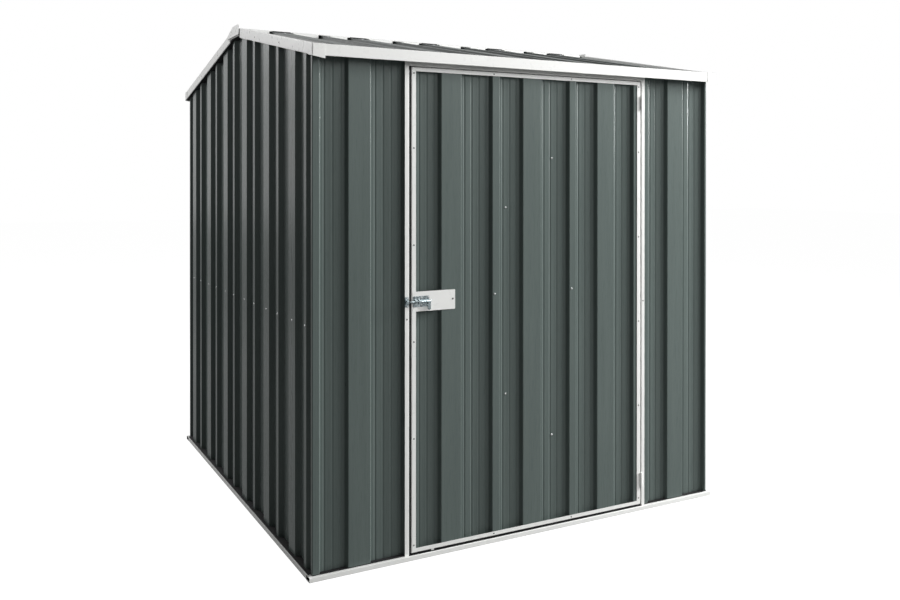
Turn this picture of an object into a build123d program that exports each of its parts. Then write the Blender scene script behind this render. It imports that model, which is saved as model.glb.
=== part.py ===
from build123d import *
from math import atan2, ceil, cos, degrees, radians, sin, tan
import os

# Gable-roofed steel tool shed, in millimetres.
# The origin is on the ground under the middle of the shed. +X runs to the right along the
# front, the door is on the -Y side, and +Z is up. The ridge runs along X.

# Overall sizes, to the outer faces of the wall sheets' ribs
wall_width = 1716.0
wall_depth = 2087.0
ridge_height = 1999.0
roof_pitch = 10.25
eave_overhang = 44.0
gable_overhang = 12.6

# Ribbed sheet: wide rib, wide pan, narrow rib, narrow pan, and then the next wide rib
sheet_t = 1.0
sheet_pitch = 345.0
wide_rib = 80.0
narrow_rib = 30.0
narrow_pan = 101.0
web_run = 7.0
rib_depth = 17.5
flute_width = 8.0
flute_depth = 1.5
flute_pitch = 29.5

# Where the first wide rib starts, counted from the left corner or from the front corner
front_first_rib = 126.0
side_first_rib = 197.0
door_first_rib = 475.0
door_pitch = 339.5

# Corner folds of the front and back sheets
corner_rib = 16.0
far_corner_rib = 10.0

# Rolled steel rails and trims
rail_t = 1.2
base_rail_height = 17.0
base_rail_overhang = 12.6
base_rail_inside = 26.0
roof_angle_leg = 25.0
eave_angle_drop = 22.0
gable_flange = 24.0
ridge_beam_width = 60.0
ridge_beam_flange = 25.0
girt_height = 30.0
girt_depth = 15.0
girt_level = 851.0

# Door opening, counted from the left corner, and its trims
opening_left = 348.0
opening_width = 1023.0
jamb_face = 15.0
header_height = 16.0

# Door leaf
door_height = 1729.5
latch_gap = 11.0
hinge_gap = 7.0
threshold_gap = 7.5
head_gap = 5.0
stile_face = 16.0
door_rail_face = 14.0
mid_rail_level = 926.5
mid_rail_height = 30.0
mid_rail_depth = 12.0
brace_width = 25.0
brace_inset = 45.0

# Hinges: two butt hinges with their pin in front of the gap
hinge_length = 60.0
lower_hinge_inset = 99.0
upper_hinge_inset = 88.0
pin_radius = 2.5
pin_play = 0.08
knuckle_radius = 4.5
knuckle_gap = 0.5
hinge_leaf_width = 13.0
hinge_leaf_t = 1.5

# Latch: a plate on the door, a sliding bolt in two guides, and a keeper on the jamb
latch_plate_inset = 3.0
latch_plate_width = 166.5
latch_plate_height = 71.0
latch_plate_t = 1.5
latch_level = 918.5
bolt_radius = 4.5
bolt_play = 0.08
bolt_lift = 0.5
bolt_tip_inset = 8.0
bolt_length = 78.0
bolt_base_width = 62.0
bolt_base_height = 38.0
bolt_base_t = 1.5
bolt_base_inset = 5.0
guide_width = 8.0
guide_height = 14.0
guide_cover = 1.5
guide_starts = (4.0, 18.0)
lug_width = 11.0
lug_drop = 26.0
lug_t = 4.0
keeper_width = 14.0
keeper_inset = 1.0
keeper_play = 1.0

# Roof trims
trim_t = 1.2
fascia_height = 39.0
fascia_top_lip = 18.0
fascia_bottom_lip = 7.0
barge_height = 39.0
barge_top_lip = 20.0
cap_leg = 45.0
cap_height = 53.0
apex_plate_width = 190.0
apex_plate_top = 90.0
apex_plate_rise = 8.0
apex_plate_drop = 39.0
ridge_cap_reach = 78.0
ridge_cap_lift = 1.8
ridge_lip_clearance = 5.0

# Small seat between pieces that lie on each other
seat = 0.1

# Sizes that follow from the ones above
half_width = wall_width / 2
half_depth = wall_depth / 2
flute_slope = atan2(flute_depth, flute_width / 2)
sheet_depth = rib_depth + flute_depth + sheet_t / cos(flute_slope)
rail_inner = sheet_depth + seat
rail_outer = rail_inner + rail_t
pitch_angle = radians(roof_pitch)
roof_depth = sheet_depth + seat
opening_right = opening_left + opening_width
corner_end = corner_rib + web_run
trim_rise = ridge_cap_lift + 2 * trim_t + seat

os.makedirs("parts", exist_ok=True)


def save(builder, name):
    """Name a finished piece and write it to its own file."""
    builder.part.label = name
    export_step(builder.part, "parts/" + name + ".step")


def front(along, inward):
    """Plan position on the front wall, from the left corner and in from the ribs' faces."""
    return (along - half_width, inward - half_depth)


def back(along, inward):
    """Plan position on the back wall, from the left corner and in from the ribs' faces."""
    return (along - half_width, half_depth - inward)


def left(along, inward):
    """Plan position on the left wall, from the front corner and in from the ribs' faces."""
    return (inward - half_width, along - half_depth)


def right(along, inward):
    """Plan position on the right wall, from the front corner and in from the ribs' faces."""
    return (half_width - inward, along - half_depth)


def crest_height(y):
    """Height of the roof ribs' upper faces at a distance y from the ridge."""
    return ridge_height - abs(y) * tan(pitch_angle)


def under_roof(y, below=0.0):
    """Height of the plane on which the roof sheets lie, or of one parallel to it below."""
    return crest_height(y) - (roof_depth + below) / cos(pitch_angle)


def rib_spans(first_rib, pitch, count):
    """Start and end of each rib: a narrow rib stands one narrow pan before each wide one."""
    spans = []
    for number in range(count):
        start = first_rib + number * pitch
        spans.append((start - narrow_pan - narrow_rib, start - narrow_pan))
        spans.append((start, start + wide_rib))
    return spans


def pan_points(start, end):
    """Floor of a pan with its shallow flutes, evenly spread over the floor's width."""
    count = max(round((end - start) / flute_pitch), 0)
    first = (start + end - (count - 1) * flute_pitch) / 2
    points = []
    for number in range(count):
        middle = first + number * flute_pitch
        points.append((middle - flute_width / 2, rib_depth))
        points.append((middle, rib_depth + flute_depth))
        points.append((middle + flute_width / 2, rib_depth))
    return points


def sheet_face(ribs, start, end):
    """Outer face of a sheet from start to end. A cut that falls on a web is made on its rib."""
    inside = [(max(a, start), min(b, end)) for a, b in ribs if b > start and a - web_run < end]
    points = []
    floor_start = start
    if not inside or inside[0][0] - web_run > start:
        points.append((start, rib_depth))
    for rib_start, rib_end in inside:
        if rib_start - web_run > start:
            points += pan_points(floor_start, rib_start - web_run)
            points.append((rib_start - web_run, rib_depth))
            points.append((min(rib_start, end), 0))
        else:
            points.append((start, 0))
        if rib_end < end:
            points.append((rib_end, 0))
            points.append((rib_end + web_run, rib_depth))
        elif rib_start < end:
            points.append((end, 0))
        floor_start = rib_end + web_run
    if inside[-1][1] < end:
        points += pan_points(floor_start, end)
        points.append((end, rib_depth))
    return points


def thickened(points, thickness):
    """Closed outline of a sheet: the given face, and the one that lies behind it."""
    vectors = [Vector(*point) for point in points]
    normals = []
    for here, after in zip(vectors, vectors[1:]):
        run = (after - here).normalized()
        normals.append(Vector(-run.Y, run.X))
    behind = []
    for number, here in enumerate(vectors):
        before = normals[max(number - 1, 0)]
        following = normals[min(number, len(normals) - 1)]
        share = 1 + before.dot(following)
        behind.append(here + (before + following) * (thickness / share))
    return points + [(point.X, point.Y) for point in reversed(behind)]


def sheet(outline, place, bottom, height):
    """Upright ribbed sheet, from an outline and the wall that it stands in."""
    with BuildPart() as piece:
        with BuildSketch(Plane.XY.offset(bottom)):
            with BuildLine():
                Polyline(*[place(*point) for point in outline], close=True)
            make_face()
        extrude(amount=height)
    return piece


def roof_plane(below, side):
    """Plane parallel to a roof slope, below the ribs' faces. side is -1 front, 1 back."""
    normal = Vector(0, side * sin(pitch_angle), cos(pitch_angle))
    return Plane(origin=Vector(0, 0, ridge_height) - normal * below, x_dir=(1, 0, 0), z_dir=normal)


def slope_section(distance):
    """Plane square to the front slope, whose X is the shed's and whose Y is the roof's normal."""
    down = Vector(0, -cos(pitch_angle), -sin(pitch_angle))
    return Plane(origin=Vector(0, 0, ridge_height) + down * distance, x_dir=(1, 0, 0), z_dir=down)


def flipped(piece, about):
    """The same piece on the other side of the shed."""
    with BuildPart() as copy:
        mirror(piece.part, about=about)
    return copy


# Base rails: channels, open inwards, that the walls stand on. The front one is the threshold.
def base_section(crest):
    """Section of a base rail across its length, from the plane of the wall ribs' faces inwards."""
    outer = crest - base_rail_overhang
    inner = crest + base_rail_inside
    return (
        (outer, 0),
        (outer, base_rail_height),
        (inner, base_rail_height),
        (inner, base_rail_height - rail_t),
        (outer + rail_t, base_rail_height - rail_t),
        (outer + rail_t, rail_t),
        (inner, rail_t),
        (inner, 0),
    )


with BuildPart() as base_rail_front:
    with BuildSketch(Plane.YZ.offset(-half_width - base_rail_overhang)):
        with BuildLine():
            Polyline(*base_section(-half_depth), close=True)
        make_face()
    extrude(amount=wall_width + 2 * base_rail_overhang)
base_rail_back = flipped(base_rail_front, Plane.XZ)

with BuildPart() as base_rail_left:
    with BuildSketch(Plane.XZ.offset(half_depth - base_rail_inside)):
        with BuildLine():
            Polyline(*base_section(-half_width), close=True)
        make_face()
    extrude(amount=-(wall_depth - 2 * base_rail_inside))
base_rail_right = flipped(base_rail_left, Plane.YZ)

for piece, name in (
    (base_rail_front, "base_rail_front"),
    (base_rail_back, "base_rail_back"),
    (base_rail_left, "base_rail_left"),
    (base_rail_right, "base_rail_right"),
):
    save(piece, name)

# Front and back sheets, folded round the corners to meet the side walls' first pans
module_count = ceil((wall_width - front_first_rib) / sheet_pitch)
front_ribs = rib_spans(front_first_rib, sheet_pitch, module_count)
front_ribs = [span for span in front_ribs if span[1] < wall_width - far_corner_rib - 2 * web_run]
front_ribs[0] = (0, front_ribs[0][1])
front_ribs.append((wall_width - far_corner_rib, wall_width))
wall_base = base_rail_height
front_top = under_roof(half_depth, seat)
near_fold = [(rib_depth, corner_end), (0, corner_rib)]
far_fold = [(wall_width, corner_rib), (wall_width - rib_depth, corner_end)]

left_panel_face = near_fold + sheet_face(front_ribs, 0, opening_left - rail_t - seat)
right_panel_face = sheet_face(front_ribs, opening_right + rail_t + seat, wall_width) + far_fold
front_panel_left = sheet(thickened(left_panel_face, sheet_t), front, wall_base, front_top - wall_base)
front_panel_right = sheet(thickened(right_panel_face, sheet_t), front, wall_base, front_top - wall_base)
save(front_panel_left, "front_panel_left")
save(front_panel_right, "front_panel_right")

# The back wall is two sheets that meet on a narrow rib
back_split = front_first_rib + 3 * sheet_pitch - narrow_pan - narrow_rib / 2
back_faces = (
    near_fold + sheet_face(front_ribs, 0, back_split),
    sheet_face(front_ribs, back_split, wall_width) + far_fold,
)
for number, face in enumerate(back_faces, start=1):
    piece = sheet(thickened(face, sheet_t), back, wall_base, front_top - wall_base)
    save(piece, f"back_wall_sheet_{number}")

# Side walls: three sheets each, cut to the roof's slope, that meet on narrow ribs
side_start = corner_end
side_end = wall_depth - corner_end
side_count = ceil((side_end - side_first_rib) / sheet_pitch)
side_ribs = rib_spans(side_first_rib, sheet_pitch, side_count)
side_splits = [side_start]
for number in (2, 4):
    side_splits.append(side_first_rib + number * sheet_pitch - narrow_pan - narrow_rib / 2)
side_splits.append(side_end)
for number in range(3):
    face = sheet_face(side_ribs, side_splits[number], side_splits[number + 1])
    with BuildPart() as left_sheet:
        with BuildSketch(Plane.XY.offset(wall_base)):
            with BuildLine():
                Polyline(*[left(*point) for point in thickened(face, sheet_t)], close=True)
            make_face()
        extrude(amount=ridge_height)
        for side in (-1, 1):
            split(bisect_by=roof_plane(roof_depth + seat, side), keep=Keep.BOTTOM)
    save(left_sheet, f"left_wall_sheet_{number + 1}")
    save(flipped(left_sheet, Plane.YZ), f"right_wall_sheet_{number + 1}")

# Eave angles: one leg behind the front or back wall's top, and one under the roof sheets
door_base = base_rail_height + threshold_gap
door_top = door_base + door_height
header_base = door_top + head_gap
with BuildPart() as eave_angles:
    leg_y = -half_depth + rail_outer
    leg_end = leg_y + roof_angle_leg
    eave_base = under_roof(leg_y) - eave_angle_drop
    with BuildSketch(Plane.YZ.offset(-half_width + rail_inner)):
        with BuildLine():
            Polyline(
                (leg_y, eave_base),
                (leg_y, under_roof(leg_y)),
                (leg_end, under_roof(leg_end)),
                (leg_end, under_roof(leg_end, rail_t)),
                (leg_y + rail_t, under_roof(leg_y + rail_t, rail_t)),
                (leg_y + rail_t, eave_base),
                close=True,
            )
        make_face()
    extrude(amount=wall_width - 2 * rail_inner)
    mirror(about=Plane.XZ)
save(eave_angles, "eave_angles")

# Gable angles: the same along the side walls' sloping tops, from the eaves to the ridge beam
gable_run = half_depth / cos(pitch_angle)
beam_half = ridge_beam_width / 2
with BuildPart() as gable_angle:
    with BuildSketch(slope_section(-roof_depth)):
        with BuildLine():
            leg_x = -half_width + rail_inner
            Polyline(
                (leg_x, -roof_depth),
                (leg_x + roof_angle_leg, -roof_depth),
                (leg_x + roof_angle_leg, -roof_depth - rail_t),
                (leg_x + rail_t, -roof_depth - rail_t),
                (leg_x + rail_t, -roof_depth - gable_flange),
                (leg_x, -roof_depth - gable_flange),
                close=True,
            )
        make_face()
    extrude(amount=gable_run + 2 * roof_depth)
    split(bisect_by=Plane.XZ.offset(-leg_end - seat), keep=Keep.BOTTOM)
    split(bisect_by=Plane.XZ.offset(beam_half + seat), keep=Keep.TOP)
with BuildPart() as gable_angles:
    add(gable_angle.part)
    mirror(gable_angle.part, about=Plane.XZ)
    mirror(about=Plane.YZ)
save(gable_angles, "gable_angles")

# Ridge beam: a peaked channel between the gables, under the roof sheets' upper ends
with BuildPart() as ridge_beam:
    beam_base = under_roof(beam_half) - ridge_beam_flange
    with BuildSketch(Plane.YZ.offset(-half_width + rail_inner)):
        with BuildLine():
            Polyline(
                (-beam_half, beam_base),
                (-beam_half, under_roof(beam_half)),
                (0, under_roof(0)),
                (beam_half, under_roof(beam_half)),
                (beam_half, beam_base),
                (beam_half - rail_t, beam_base),
                (beam_half - rail_t, under_roof(beam_half - rail_t, rail_t)),
                (0, under_roof(0, rail_t)),
                (rail_t - beam_half, under_roof(beam_half - rail_t, rail_t)),
                (rail_t - beam_half, beam_base),
                close=True,
            )
        make_face()
    extrude(amount=wall_width - 2 * rail_inner)
save(ridge_beam, "ridge_beam")

# Mid girts: channels along the inside of the side and back walls, at half height
with BuildPart() as mid_girts:
    girt_length = wall_depth - 2 * corner_end
    with BuildSketch(Plane.XZ.offset(girt_length / 2)):
        with BuildLine():
            Polyline(
                (-half_width + sheet_depth, girt_level - girt_height / 2),
                (-half_width + sheet_depth, girt_level + girt_height / 2),
                (-half_width + sheet_depth + girt_depth, girt_level + girt_height / 2),
                (-half_width + sheet_depth + girt_depth, girt_level + girt_height / 2 - rail_t),
                (-half_width + sheet_depth + rail_t, girt_level + girt_height / 2 - rail_t),
                (-half_width + sheet_depth + rail_t, girt_level - girt_height / 2 + rail_t),
                (-half_width + sheet_depth + girt_depth, girt_level - girt_height / 2 + rail_t),
                (-half_width + sheet_depth + girt_depth, girt_level - girt_height / 2),
                close=True,
            )
        make_face()
    extrude(amount=-girt_length)
    mirror(about=Plane.YZ)
    back_girt_end = half_width - sheet_depth - girt_depth - rail_t
    with BuildSketch(Plane.YZ.offset(-back_girt_end)):
        with BuildLine():
            Polyline(
                (half_depth - sheet_depth, girt_level - girt_height / 2),
                (half_depth - sheet_depth, girt_level + girt_height / 2),
                (half_depth - sheet_depth - girt_depth, girt_level + girt_height / 2),
                (half_depth - sheet_depth - girt_depth, girt_level + girt_height / 2 - rail_t),
                (half_depth - sheet_depth - rail_t, girt_level + girt_height / 2 - rail_t),
                (half_depth - sheet_depth - rail_t, girt_level - girt_height / 2 + rail_t),
                (half_depth - sheet_depth - girt_depth, girt_level - girt_height / 2 + rail_t),
                (half_depth - sheet_depth - girt_depth, girt_level - girt_height / 2),
                close=True,
            )
        make_face()
    extrude(amount=2 * back_girt_end)
save(mid_girts, "mid_girts")


def upright_channel(web_x, open_to, face, bottom, height):
    """Upright channel of the front wall's thickness. open_to is the side its mouth faces."""
    with BuildPart() as channel:
        with BuildSketch(Plane.XY.offset(bottom)):
            with BuildLine():
                Polyline(
                    front(web_x, -rail_t),
                    front(web_x + open_to * face, -rail_t),
                    front(web_x + open_to * face, 0),
                    front(web_x + open_to * rail_t, 0),
                    front(web_x + open_to * rail_t, rail_inner),
                    front(web_x + open_to * face, rail_inner),
                    front(web_x + open_to * face, rail_outer),
                    front(web_x, rail_outer),
                    close=True,
                )
            make_face()
        extrude(amount=height)
    return channel


def level_channel(start, end, web_z, open_to, face):
    """Level channel of the front wall's thickness. open_to is 1 upwards and -1 downwards."""
    with BuildPart() as channel:
        with BuildSketch(Plane.YZ.offset(start - half_width)):
            with BuildLine():
                Polyline(
                    (-half_depth - rail_t, web_z),
                    (-half_depth - rail_t, web_z + open_to * face),
                    (-half_depth, web_z + open_to * face),
                    (-half_depth, web_z + open_to * rail_t),
                    (-half_depth + rail_inner, web_z + open_to * rail_t),
                    (-half_depth + rail_inner, web_z + open_to * face),
                    (-half_depth + rail_outer, web_z + open_to * face),
                    (-half_depth + rail_outer, web_z),
                    close=True,
                )
            make_face()
        extrude(amount=end - start)
    return channel


# Door surround: a channel on each panel's edge, and a header between them
jamb_height = under_roof(half_depth + rail_t, seat) - base_rail_height
door_jamb_left = upright_channel(opening_left, -1, jamb_face, base_rail_height, jamb_height)
door_jamb_right = upright_channel(opening_right, 1, jamb_face, base_rail_height, jamb_height)
door_header = level_channel(opening_left, opening_right, header_base, 1, header_height)
save(door_jamb_left, "door_jamb_left")
save(door_jamb_right, "door_jamb_right")
save(door_header, "door_header")

# Roof sheets: two on each slope, on the same spacing of ribs as the front wall
trim_inner = gable_overhang - trim_t
roof_split = back_split
roof_start = roof_depth * tan(pitch_angle) + seat
roof_end = (half_depth + eave_overhang - trim_t - seat) / cos(pitch_angle)
roof_ribs = list(front_ribs)
roof_ribs[0] = (seat - trim_inner, front_ribs[0][1])
roof_ribs[-1] = (front_ribs[-1][0], wall_width + trim_inner - seat)
roof_faces = (
    sheet_face(roof_ribs, seat - trim_inner, roof_split),
    sheet_face(roof_ribs, roof_split, wall_width + trim_inner - seat),
)
for number, face in enumerate(roof_faces, start=1):
    with BuildPart() as roof_sheet:
        with BuildSketch(slope_section(roof_start)):
            with BuildLine():
                outline = thickened(face, sheet_t)
                Polyline(*[(x - half_width, -y) for x, y in outline], close=True)
            make_face()
        extrude(amount=roof_end - roof_start)
    save(roof_sheet, f"roof_front_sheet_{number}")
    save(flipped(roof_sheet, Plane.XZ), f"roof_back_sheet_{number}")

# Ridge cap: a folded strip over the ribs, with lips that reach down into the pans
with BuildPart() as ridge_cap:
    cap_end = half_width + trim_inner - seat
    with BuildSketch(Plane.YZ.offset(-cap_end)):
        with BuildLine():
            reach = ridge_cap_reach * cos(pitch_angle)
            cap_bottom = ridge_height + ridge_cap_lift / cos(pitch_angle)
            cap_top = cap_bottom + trim_t / cos(pitch_angle)
            fall = reach * tan(pitch_angle)
            Polyline(
                (-reach, cap_bottom - fall),
                (-reach, cap_top - fall),
                (0, cap_top),
                (reach, cap_top - fall),
                (reach, cap_bottom - fall),
                (0, cap_bottom),
                close=True,
            )
        make_face()
    extrude(amount=2 * cap_end)
    for (_, before), (after, _) in zip(roof_ribs, roof_ribs[1:]):
        lip_start = before + web_run + ridge_lip_clearance
        lip_end = after - web_run - ridge_lip_clearance
        with BuildSketch(Plane.XZ.offset(reach - trim_t)):
            with BuildLine():
                lip_top = cap_bottom - fall + trim_t / 2
                lip_base = crest_height(reach - trim_t) - (rib_depth - seat) / cos(pitch_angle)
                Polyline(
                    (lip_start - half_width, lip_base),
                    (lip_end - half_width, lip_base),
                    (lip_end - half_width, lip_top),
                    (lip_start - half_width, lip_top),
                    close=True,
                )
            make_face()
        extrude(amount=trim_t)
        mirror(about=Plane.XZ)
save(ridge_cap, "ridge_cap")

# Fascias: folded strips over the roof sheets' lower ends, between the barges
fascia_top = crest_height(half_depth + eave_overhang) + trim_rise
with BuildPart() as fascia_front:
    fascia_face = -half_depth - eave_overhang
    fascia_end = half_width + gable_overhang - barge_top_lip - seat
    lip_rise = fascia_top_lip * tan(pitch_angle)
    with BuildSketch(Plane.YZ.offset(-fascia_end)):
        with BuildLine():
            Polyline(
                (fascia_face, fascia_top - fascia_height),
                (fascia_face, fascia_top),
                (fascia_face + fascia_top_lip, fascia_top + lip_rise),
                (fascia_face + fascia_top_lip, fascia_top + lip_rise - trim_t),
                (fascia_face + trim_t, fascia_top - trim_t),
                (fascia_face + trim_t, fascia_top - fascia_height + trim_t),
                (fascia_face + fascia_bottom_lip, fascia_top - fascia_height + trim_t),
                (fascia_face + fascia_bottom_lip, fascia_top - fascia_height),
                close=True,
            )
        make_face()
    extrude(amount=2 * fascia_end)
save(fascia_front, "fascia_front")
save(flipped(fascia_front, Plane.XZ), "fascia_back")

# Barges: folded strips over the roof sheets' side edges, from the fascias to the ridge
with BuildPart() as barge:
    barge_face = -half_width - gable_overhang
    with BuildSketch(slope_section(-barge_height)):
        with BuildLine():
            Polyline(
                (barge_face, trim_rise),
                (barge_face + barge_top_lip, trim_rise),
                (barge_face + barge_top_lip, trim_rise - trim_t),
                (barge_face + trim_t, trim_rise - trim_t),
                (barge_face + trim_t, trim_rise + trim_t - barge_height),
                (-half_width - rail_t - seat, trim_rise + trim_t - barge_height),
                (-half_width - rail_t - seat, trim_rise - barge_height),
                (barge_face, trim_rise - barge_height),
                close=True,
            )
        make_face()
    extrude(amount=roof_end + 2 * barge_height)
    split(bisect_by=Plane.XZ.offset(half_depth + eave_overhang - trim_t), keep=Keep.BOTTOM)
    split(bisect_by=Plane.XZ.offset(seat), keep=Keep.TOP)
with BuildPart() as barges_front:
    add(barge.part)
    mirror(about=Plane.YZ)
save(barges_front, "barges_front")
save(flipped(barges_front, Plane.XZ), "barges_back")

# Apex plates: a plate over the barges' meeting ends on each gable
with BuildPart() as apex_plates:
    plate_half = apex_plate_width / 2
    barge_top = trim_rise / cos(pitch_angle)
    plate_top = ridge_height + barge_top + apex_plate_rise
    with BuildSketch(Plane.YZ.offset(-half_width - gable_overhang)):
        with BuildLine():
            Polyline(
                (-plate_half, ridge_height - apex_plate_drop),
                (plate_half, ridge_height - apex_plate_drop),
                (plate_half, crest_height(plate_half) + barge_top),
                (apex_plate_top / 2, plate_top),
                (-apex_plate_top / 2, plate_top),
                (-plate_half, crest_height(plate_half) + barge_top),
                close=True,
            )
        make_face()
    extrude(amount=-trim_t)
    mirror(about=Plane.YZ)
save(apex_plates, "apex_plates")

# Corner caps: folded corners over the meeting of each fascia and barge
with BuildPart() as corner_caps:
    cap_x = half_width + gable_overhang
    cap_y = half_depth + eave_overhang
    cap_base = fascia_top + trim_t - cap_height
    with BuildSketch(Plane.XY.offset(cap_base)):
        with BuildLine():
            Polyline(
                (-cap_x - trim_t, -cap_y - trim_t),
                (-cap_x - trim_t + cap_leg, -cap_y - trim_t),
                (-cap_x - trim_t + cap_leg, -cap_y),
                (-cap_x, -cap_y),
                (-cap_x, -cap_y - trim_t + cap_leg),
                (-cap_x - trim_t, -cap_y - trim_t + cap_leg),
                close=True,
            )
        make_face()
    extrude(amount=cap_height)
    mirror(about=Plane.YZ)
    mirror(about=Plane.XZ)
save(corner_caps, "corner_caps")

# Door leaf: a frame of channels round two ribbed sheets
door_left = opening_left + latch_gap
door_right = opening_right - hinge_gap
door_stile_latch = upright_channel(door_left, 1, stile_face, door_base, door_height)
door_stile_hinge = upright_channel(door_right, -1, stile_face, door_base, door_height)
rail_start = door_left + stile_face
rail_end = door_right - stile_face
with BuildPart() as door_rails:
    add(level_channel(rail_start, rail_end, door_base, 1, door_rail_face).part)
    add(level_channel(rail_start, rail_end, door_top, -1, door_rail_face).part)
save(door_stile_latch, "door_stile_latch")
save(door_stile_hinge, "door_stile_hinge")
save(door_rails, "door_rails")

door_ribs = rib_spans(door_first_rib, door_pitch, 3)
door_ribs[0] = (door_left, door_ribs[0][1])
door_ribs.append((door_right - 2 * stile_face, door_right))
door_split = door_first_rib + 2 * door_pitch - narrow_pan - narrow_rib / 2
sheet_start = door_left + rail_t + seat
sheet_end = door_right - rail_t - seat
sheet_base = door_base + rail_t + seat
sheet_height = door_height - 2 * (rail_t + seat)
for number, (start, end) in enumerate(((sheet_start, door_split), (door_split, sheet_end)), start=1):
    face = sheet_face(door_ribs, start, end)
    save(sheet(thickened(face, sheet_t), front, sheet_base, sheet_height), f"door_sheet_{number}")

# Door's middle rail and two diagonal braces, on the inside of the frame
inner_face = -half_depth + rail_outer
with BuildPart() as door_mid_rail:
    with BuildSketch(Plane.YZ.offset(door_left - half_width)):
        with BuildLine():
            low = mid_rail_level - mid_rail_height / 2
            high = mid_rail_level + mid_rail_height / 2
            Polyline(
                (inner_face, low),
                (inner_face, high),
                (inner_face + mid_rail_depth, high),
                (inner_face + mid_rail_depth, high - rail_t),
                (inner_face + rail_t, high - rail_t),
                (inner_face + rail_t, low + rail_t),
                (inner_face + mid_rail_depth, low + rail_t),
                (inner_face + mid_rail_depth, low),
                close=True,
            )
        make_face()
    extrude(amount=door_right - door_left)
save(door_mid_rail, "door_mid_rail")

brace_start = door_left + stile_face - half_width
brace_end = door_right - stile_face - brace_inset - half_width
with BuildPart() as door_braces:
    for start_z, end_z in (
        (mid_rail_level + mid_rail_height / 2 + seat, door_top - rail_t),
        (mid_rail_level - mid_rail_height / 2 - seat, door_base + rail_t),
    ):
        foot = brace_width / sin(atan2(abs(end_z - start_z), brace_end - brace_start))
        with BuildSketch(Plane.XZ.offset(-inner_face)):
            with BuildLine():
                Polyline(
                    (brace_start, start_z),
                    (brace_start + foot, start_z),
                    (brace_end, end_z),
                    (brace_end - foot, end_z),
                    close=True,
                )
            make_face()
        extrude(amount=-rail_t)
save(door_braces, "door_braces")

# Hinges: the jamb's leaves carry the outer knuckles and the pin, the door's leaves the middle one
hinge_levels = (door_base + lower_hinge_inset, door_top - upper_hinge_inset)
hinge_x = opening_right - hinge_gap / 2 - half_width
face_y = -half_depth - rail_t
hinge_y = face_y - knuckle_radius
knuckle = hinge_length / 3
with BuildPart() as hinge_leaves_jamb:
    for level in hinge_levels:
        base = level - hinge_length / 2
        with BuildSketch(Plane.XY.offset(base)):
            with Locations((hinge_x + knuckle_radius + knuckle_gap, face_y)):
                Rectangle(hinge_leaf_width - knuckle_radius, hinge_leaf_t, align=(Align.MIN, Align.MAX))
        extrude(amount=hinge_length)
        for start, length in ((0, knuckle), (2 * knuckle, knuckle)):
            with BuildSketch(Plane.XY.offset(base + start)):
                with Locations((hinge_x, hinge_y)):
                    Circle(knuckle_radius)
                with Locations((hinge_x, face_y)):
                    Rectangle(knuckle_radius + 2 * knuckle_gap, hinge_leaf_t, align=(Align.MIN, Align.MAX))
            extrude(amount=length)
        with BuildSketch(Plane.XY.offset(base)):
            with Locations((hinge_x, hinge_y)):
                Circle(pin_radius)
        extrude(amount=hinge_length)
save(hinge_leaves_jamb, "hinge_leaves_jamb")

with BuildPart() as hinge_leaves_door:
    for level in hinge_levels:
        base = level - hinge_length / 2
        with BuildSketch(Plane.XY.offset(base)):
            with Locations((hinge_x - knuckle_radius - 2 * knuckle_gap, face_y)):
                Rectangle(hinge_leaf_width - knuckle_radius, hinge_leaf_t, align=(Align.MAX, Align.MAX))
        extrude(amount=hinge_length)
        with BuildSketch(Plane.XY.offset(base + knuckle + knuckle_gap)):
            with Locations((hinge_x, hinge_y)):
                Circle(knuckle_radius)
            with Locations((hinge_x, face_y)):
                Rectangle(knuckle_radius + 3 * knuckle_gap, hinge_leaf_t, align=(Align.MAX, Align.MAX))
            with Locations((hinge_x, hinge_y)):
                Circle(pin_radius + pin_play, mode=Mode.SUBTRACT)
        extrude(amount=knuckle - 2 * knuckle_gap)
save(hinge_leaves_door, "hinge_leaves_door")

# Latch plate: a stiff strip from the latch stile out over the sheet
with BuildPart() as latch_plate:
    with BuildSketch(Plane.XZ.offset(-face_y)):
        with Locations((door_left + latch_plate_inset - half_width, latch_level)):
            Rectangle(latch_plate_width, latch_plate_height, align=(Align.MIN, Align.CENTER))
    extrude(amount=latch_plate_t)
save(latch_plate, "latch_plate")

# Bolt guides: a base plate with two blocks that the bolt slides in
bolt_base_y = face_y - latch_plate_t
bolt_y = bolt_base_y - bolt_base_t - bolt_lift - bolt_radius
guide_depth = bolt_base_y - bolt_y + bolt_radius + guide_cover
base_start = door_left + bolt_base_inset
bolt_tip = door_left - bolt_tip_inset
with BuildPart() as bolt_guides:
    with BuildSketch(Plane.XZ.offset(-bolt_base_y)):
        with Locations((base_start - half_width, latch_level)):
            Rectangle(bolt_base_width, bolt_base_height, align=(Align.MIN, Align.CENTER))
    extrude(amount=bolt_base_t)
    for start in guide_starts:
        with BuildSketch(Plane.XZ.offset(-bolt_base_y)):
            with Locations((base_start + start - half_width, latch_level)):
                Rectangle(guide_width, guide_height, align=(Align.MIN, Align.CENTER))
        extrude(amount=guide_depth)
    with BuildSketch(Plane.YZ.offset(base_start - half_width)):
        with Locations((bolt_y, latch_level)):
            Circle(bolt_radius + bolt_play)
    extrude(amount=guide_starts[1] + 2 * guide_width, mode=Mode.SUBTRACT)
save(bolt_guides, "bolt_guides")

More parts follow.
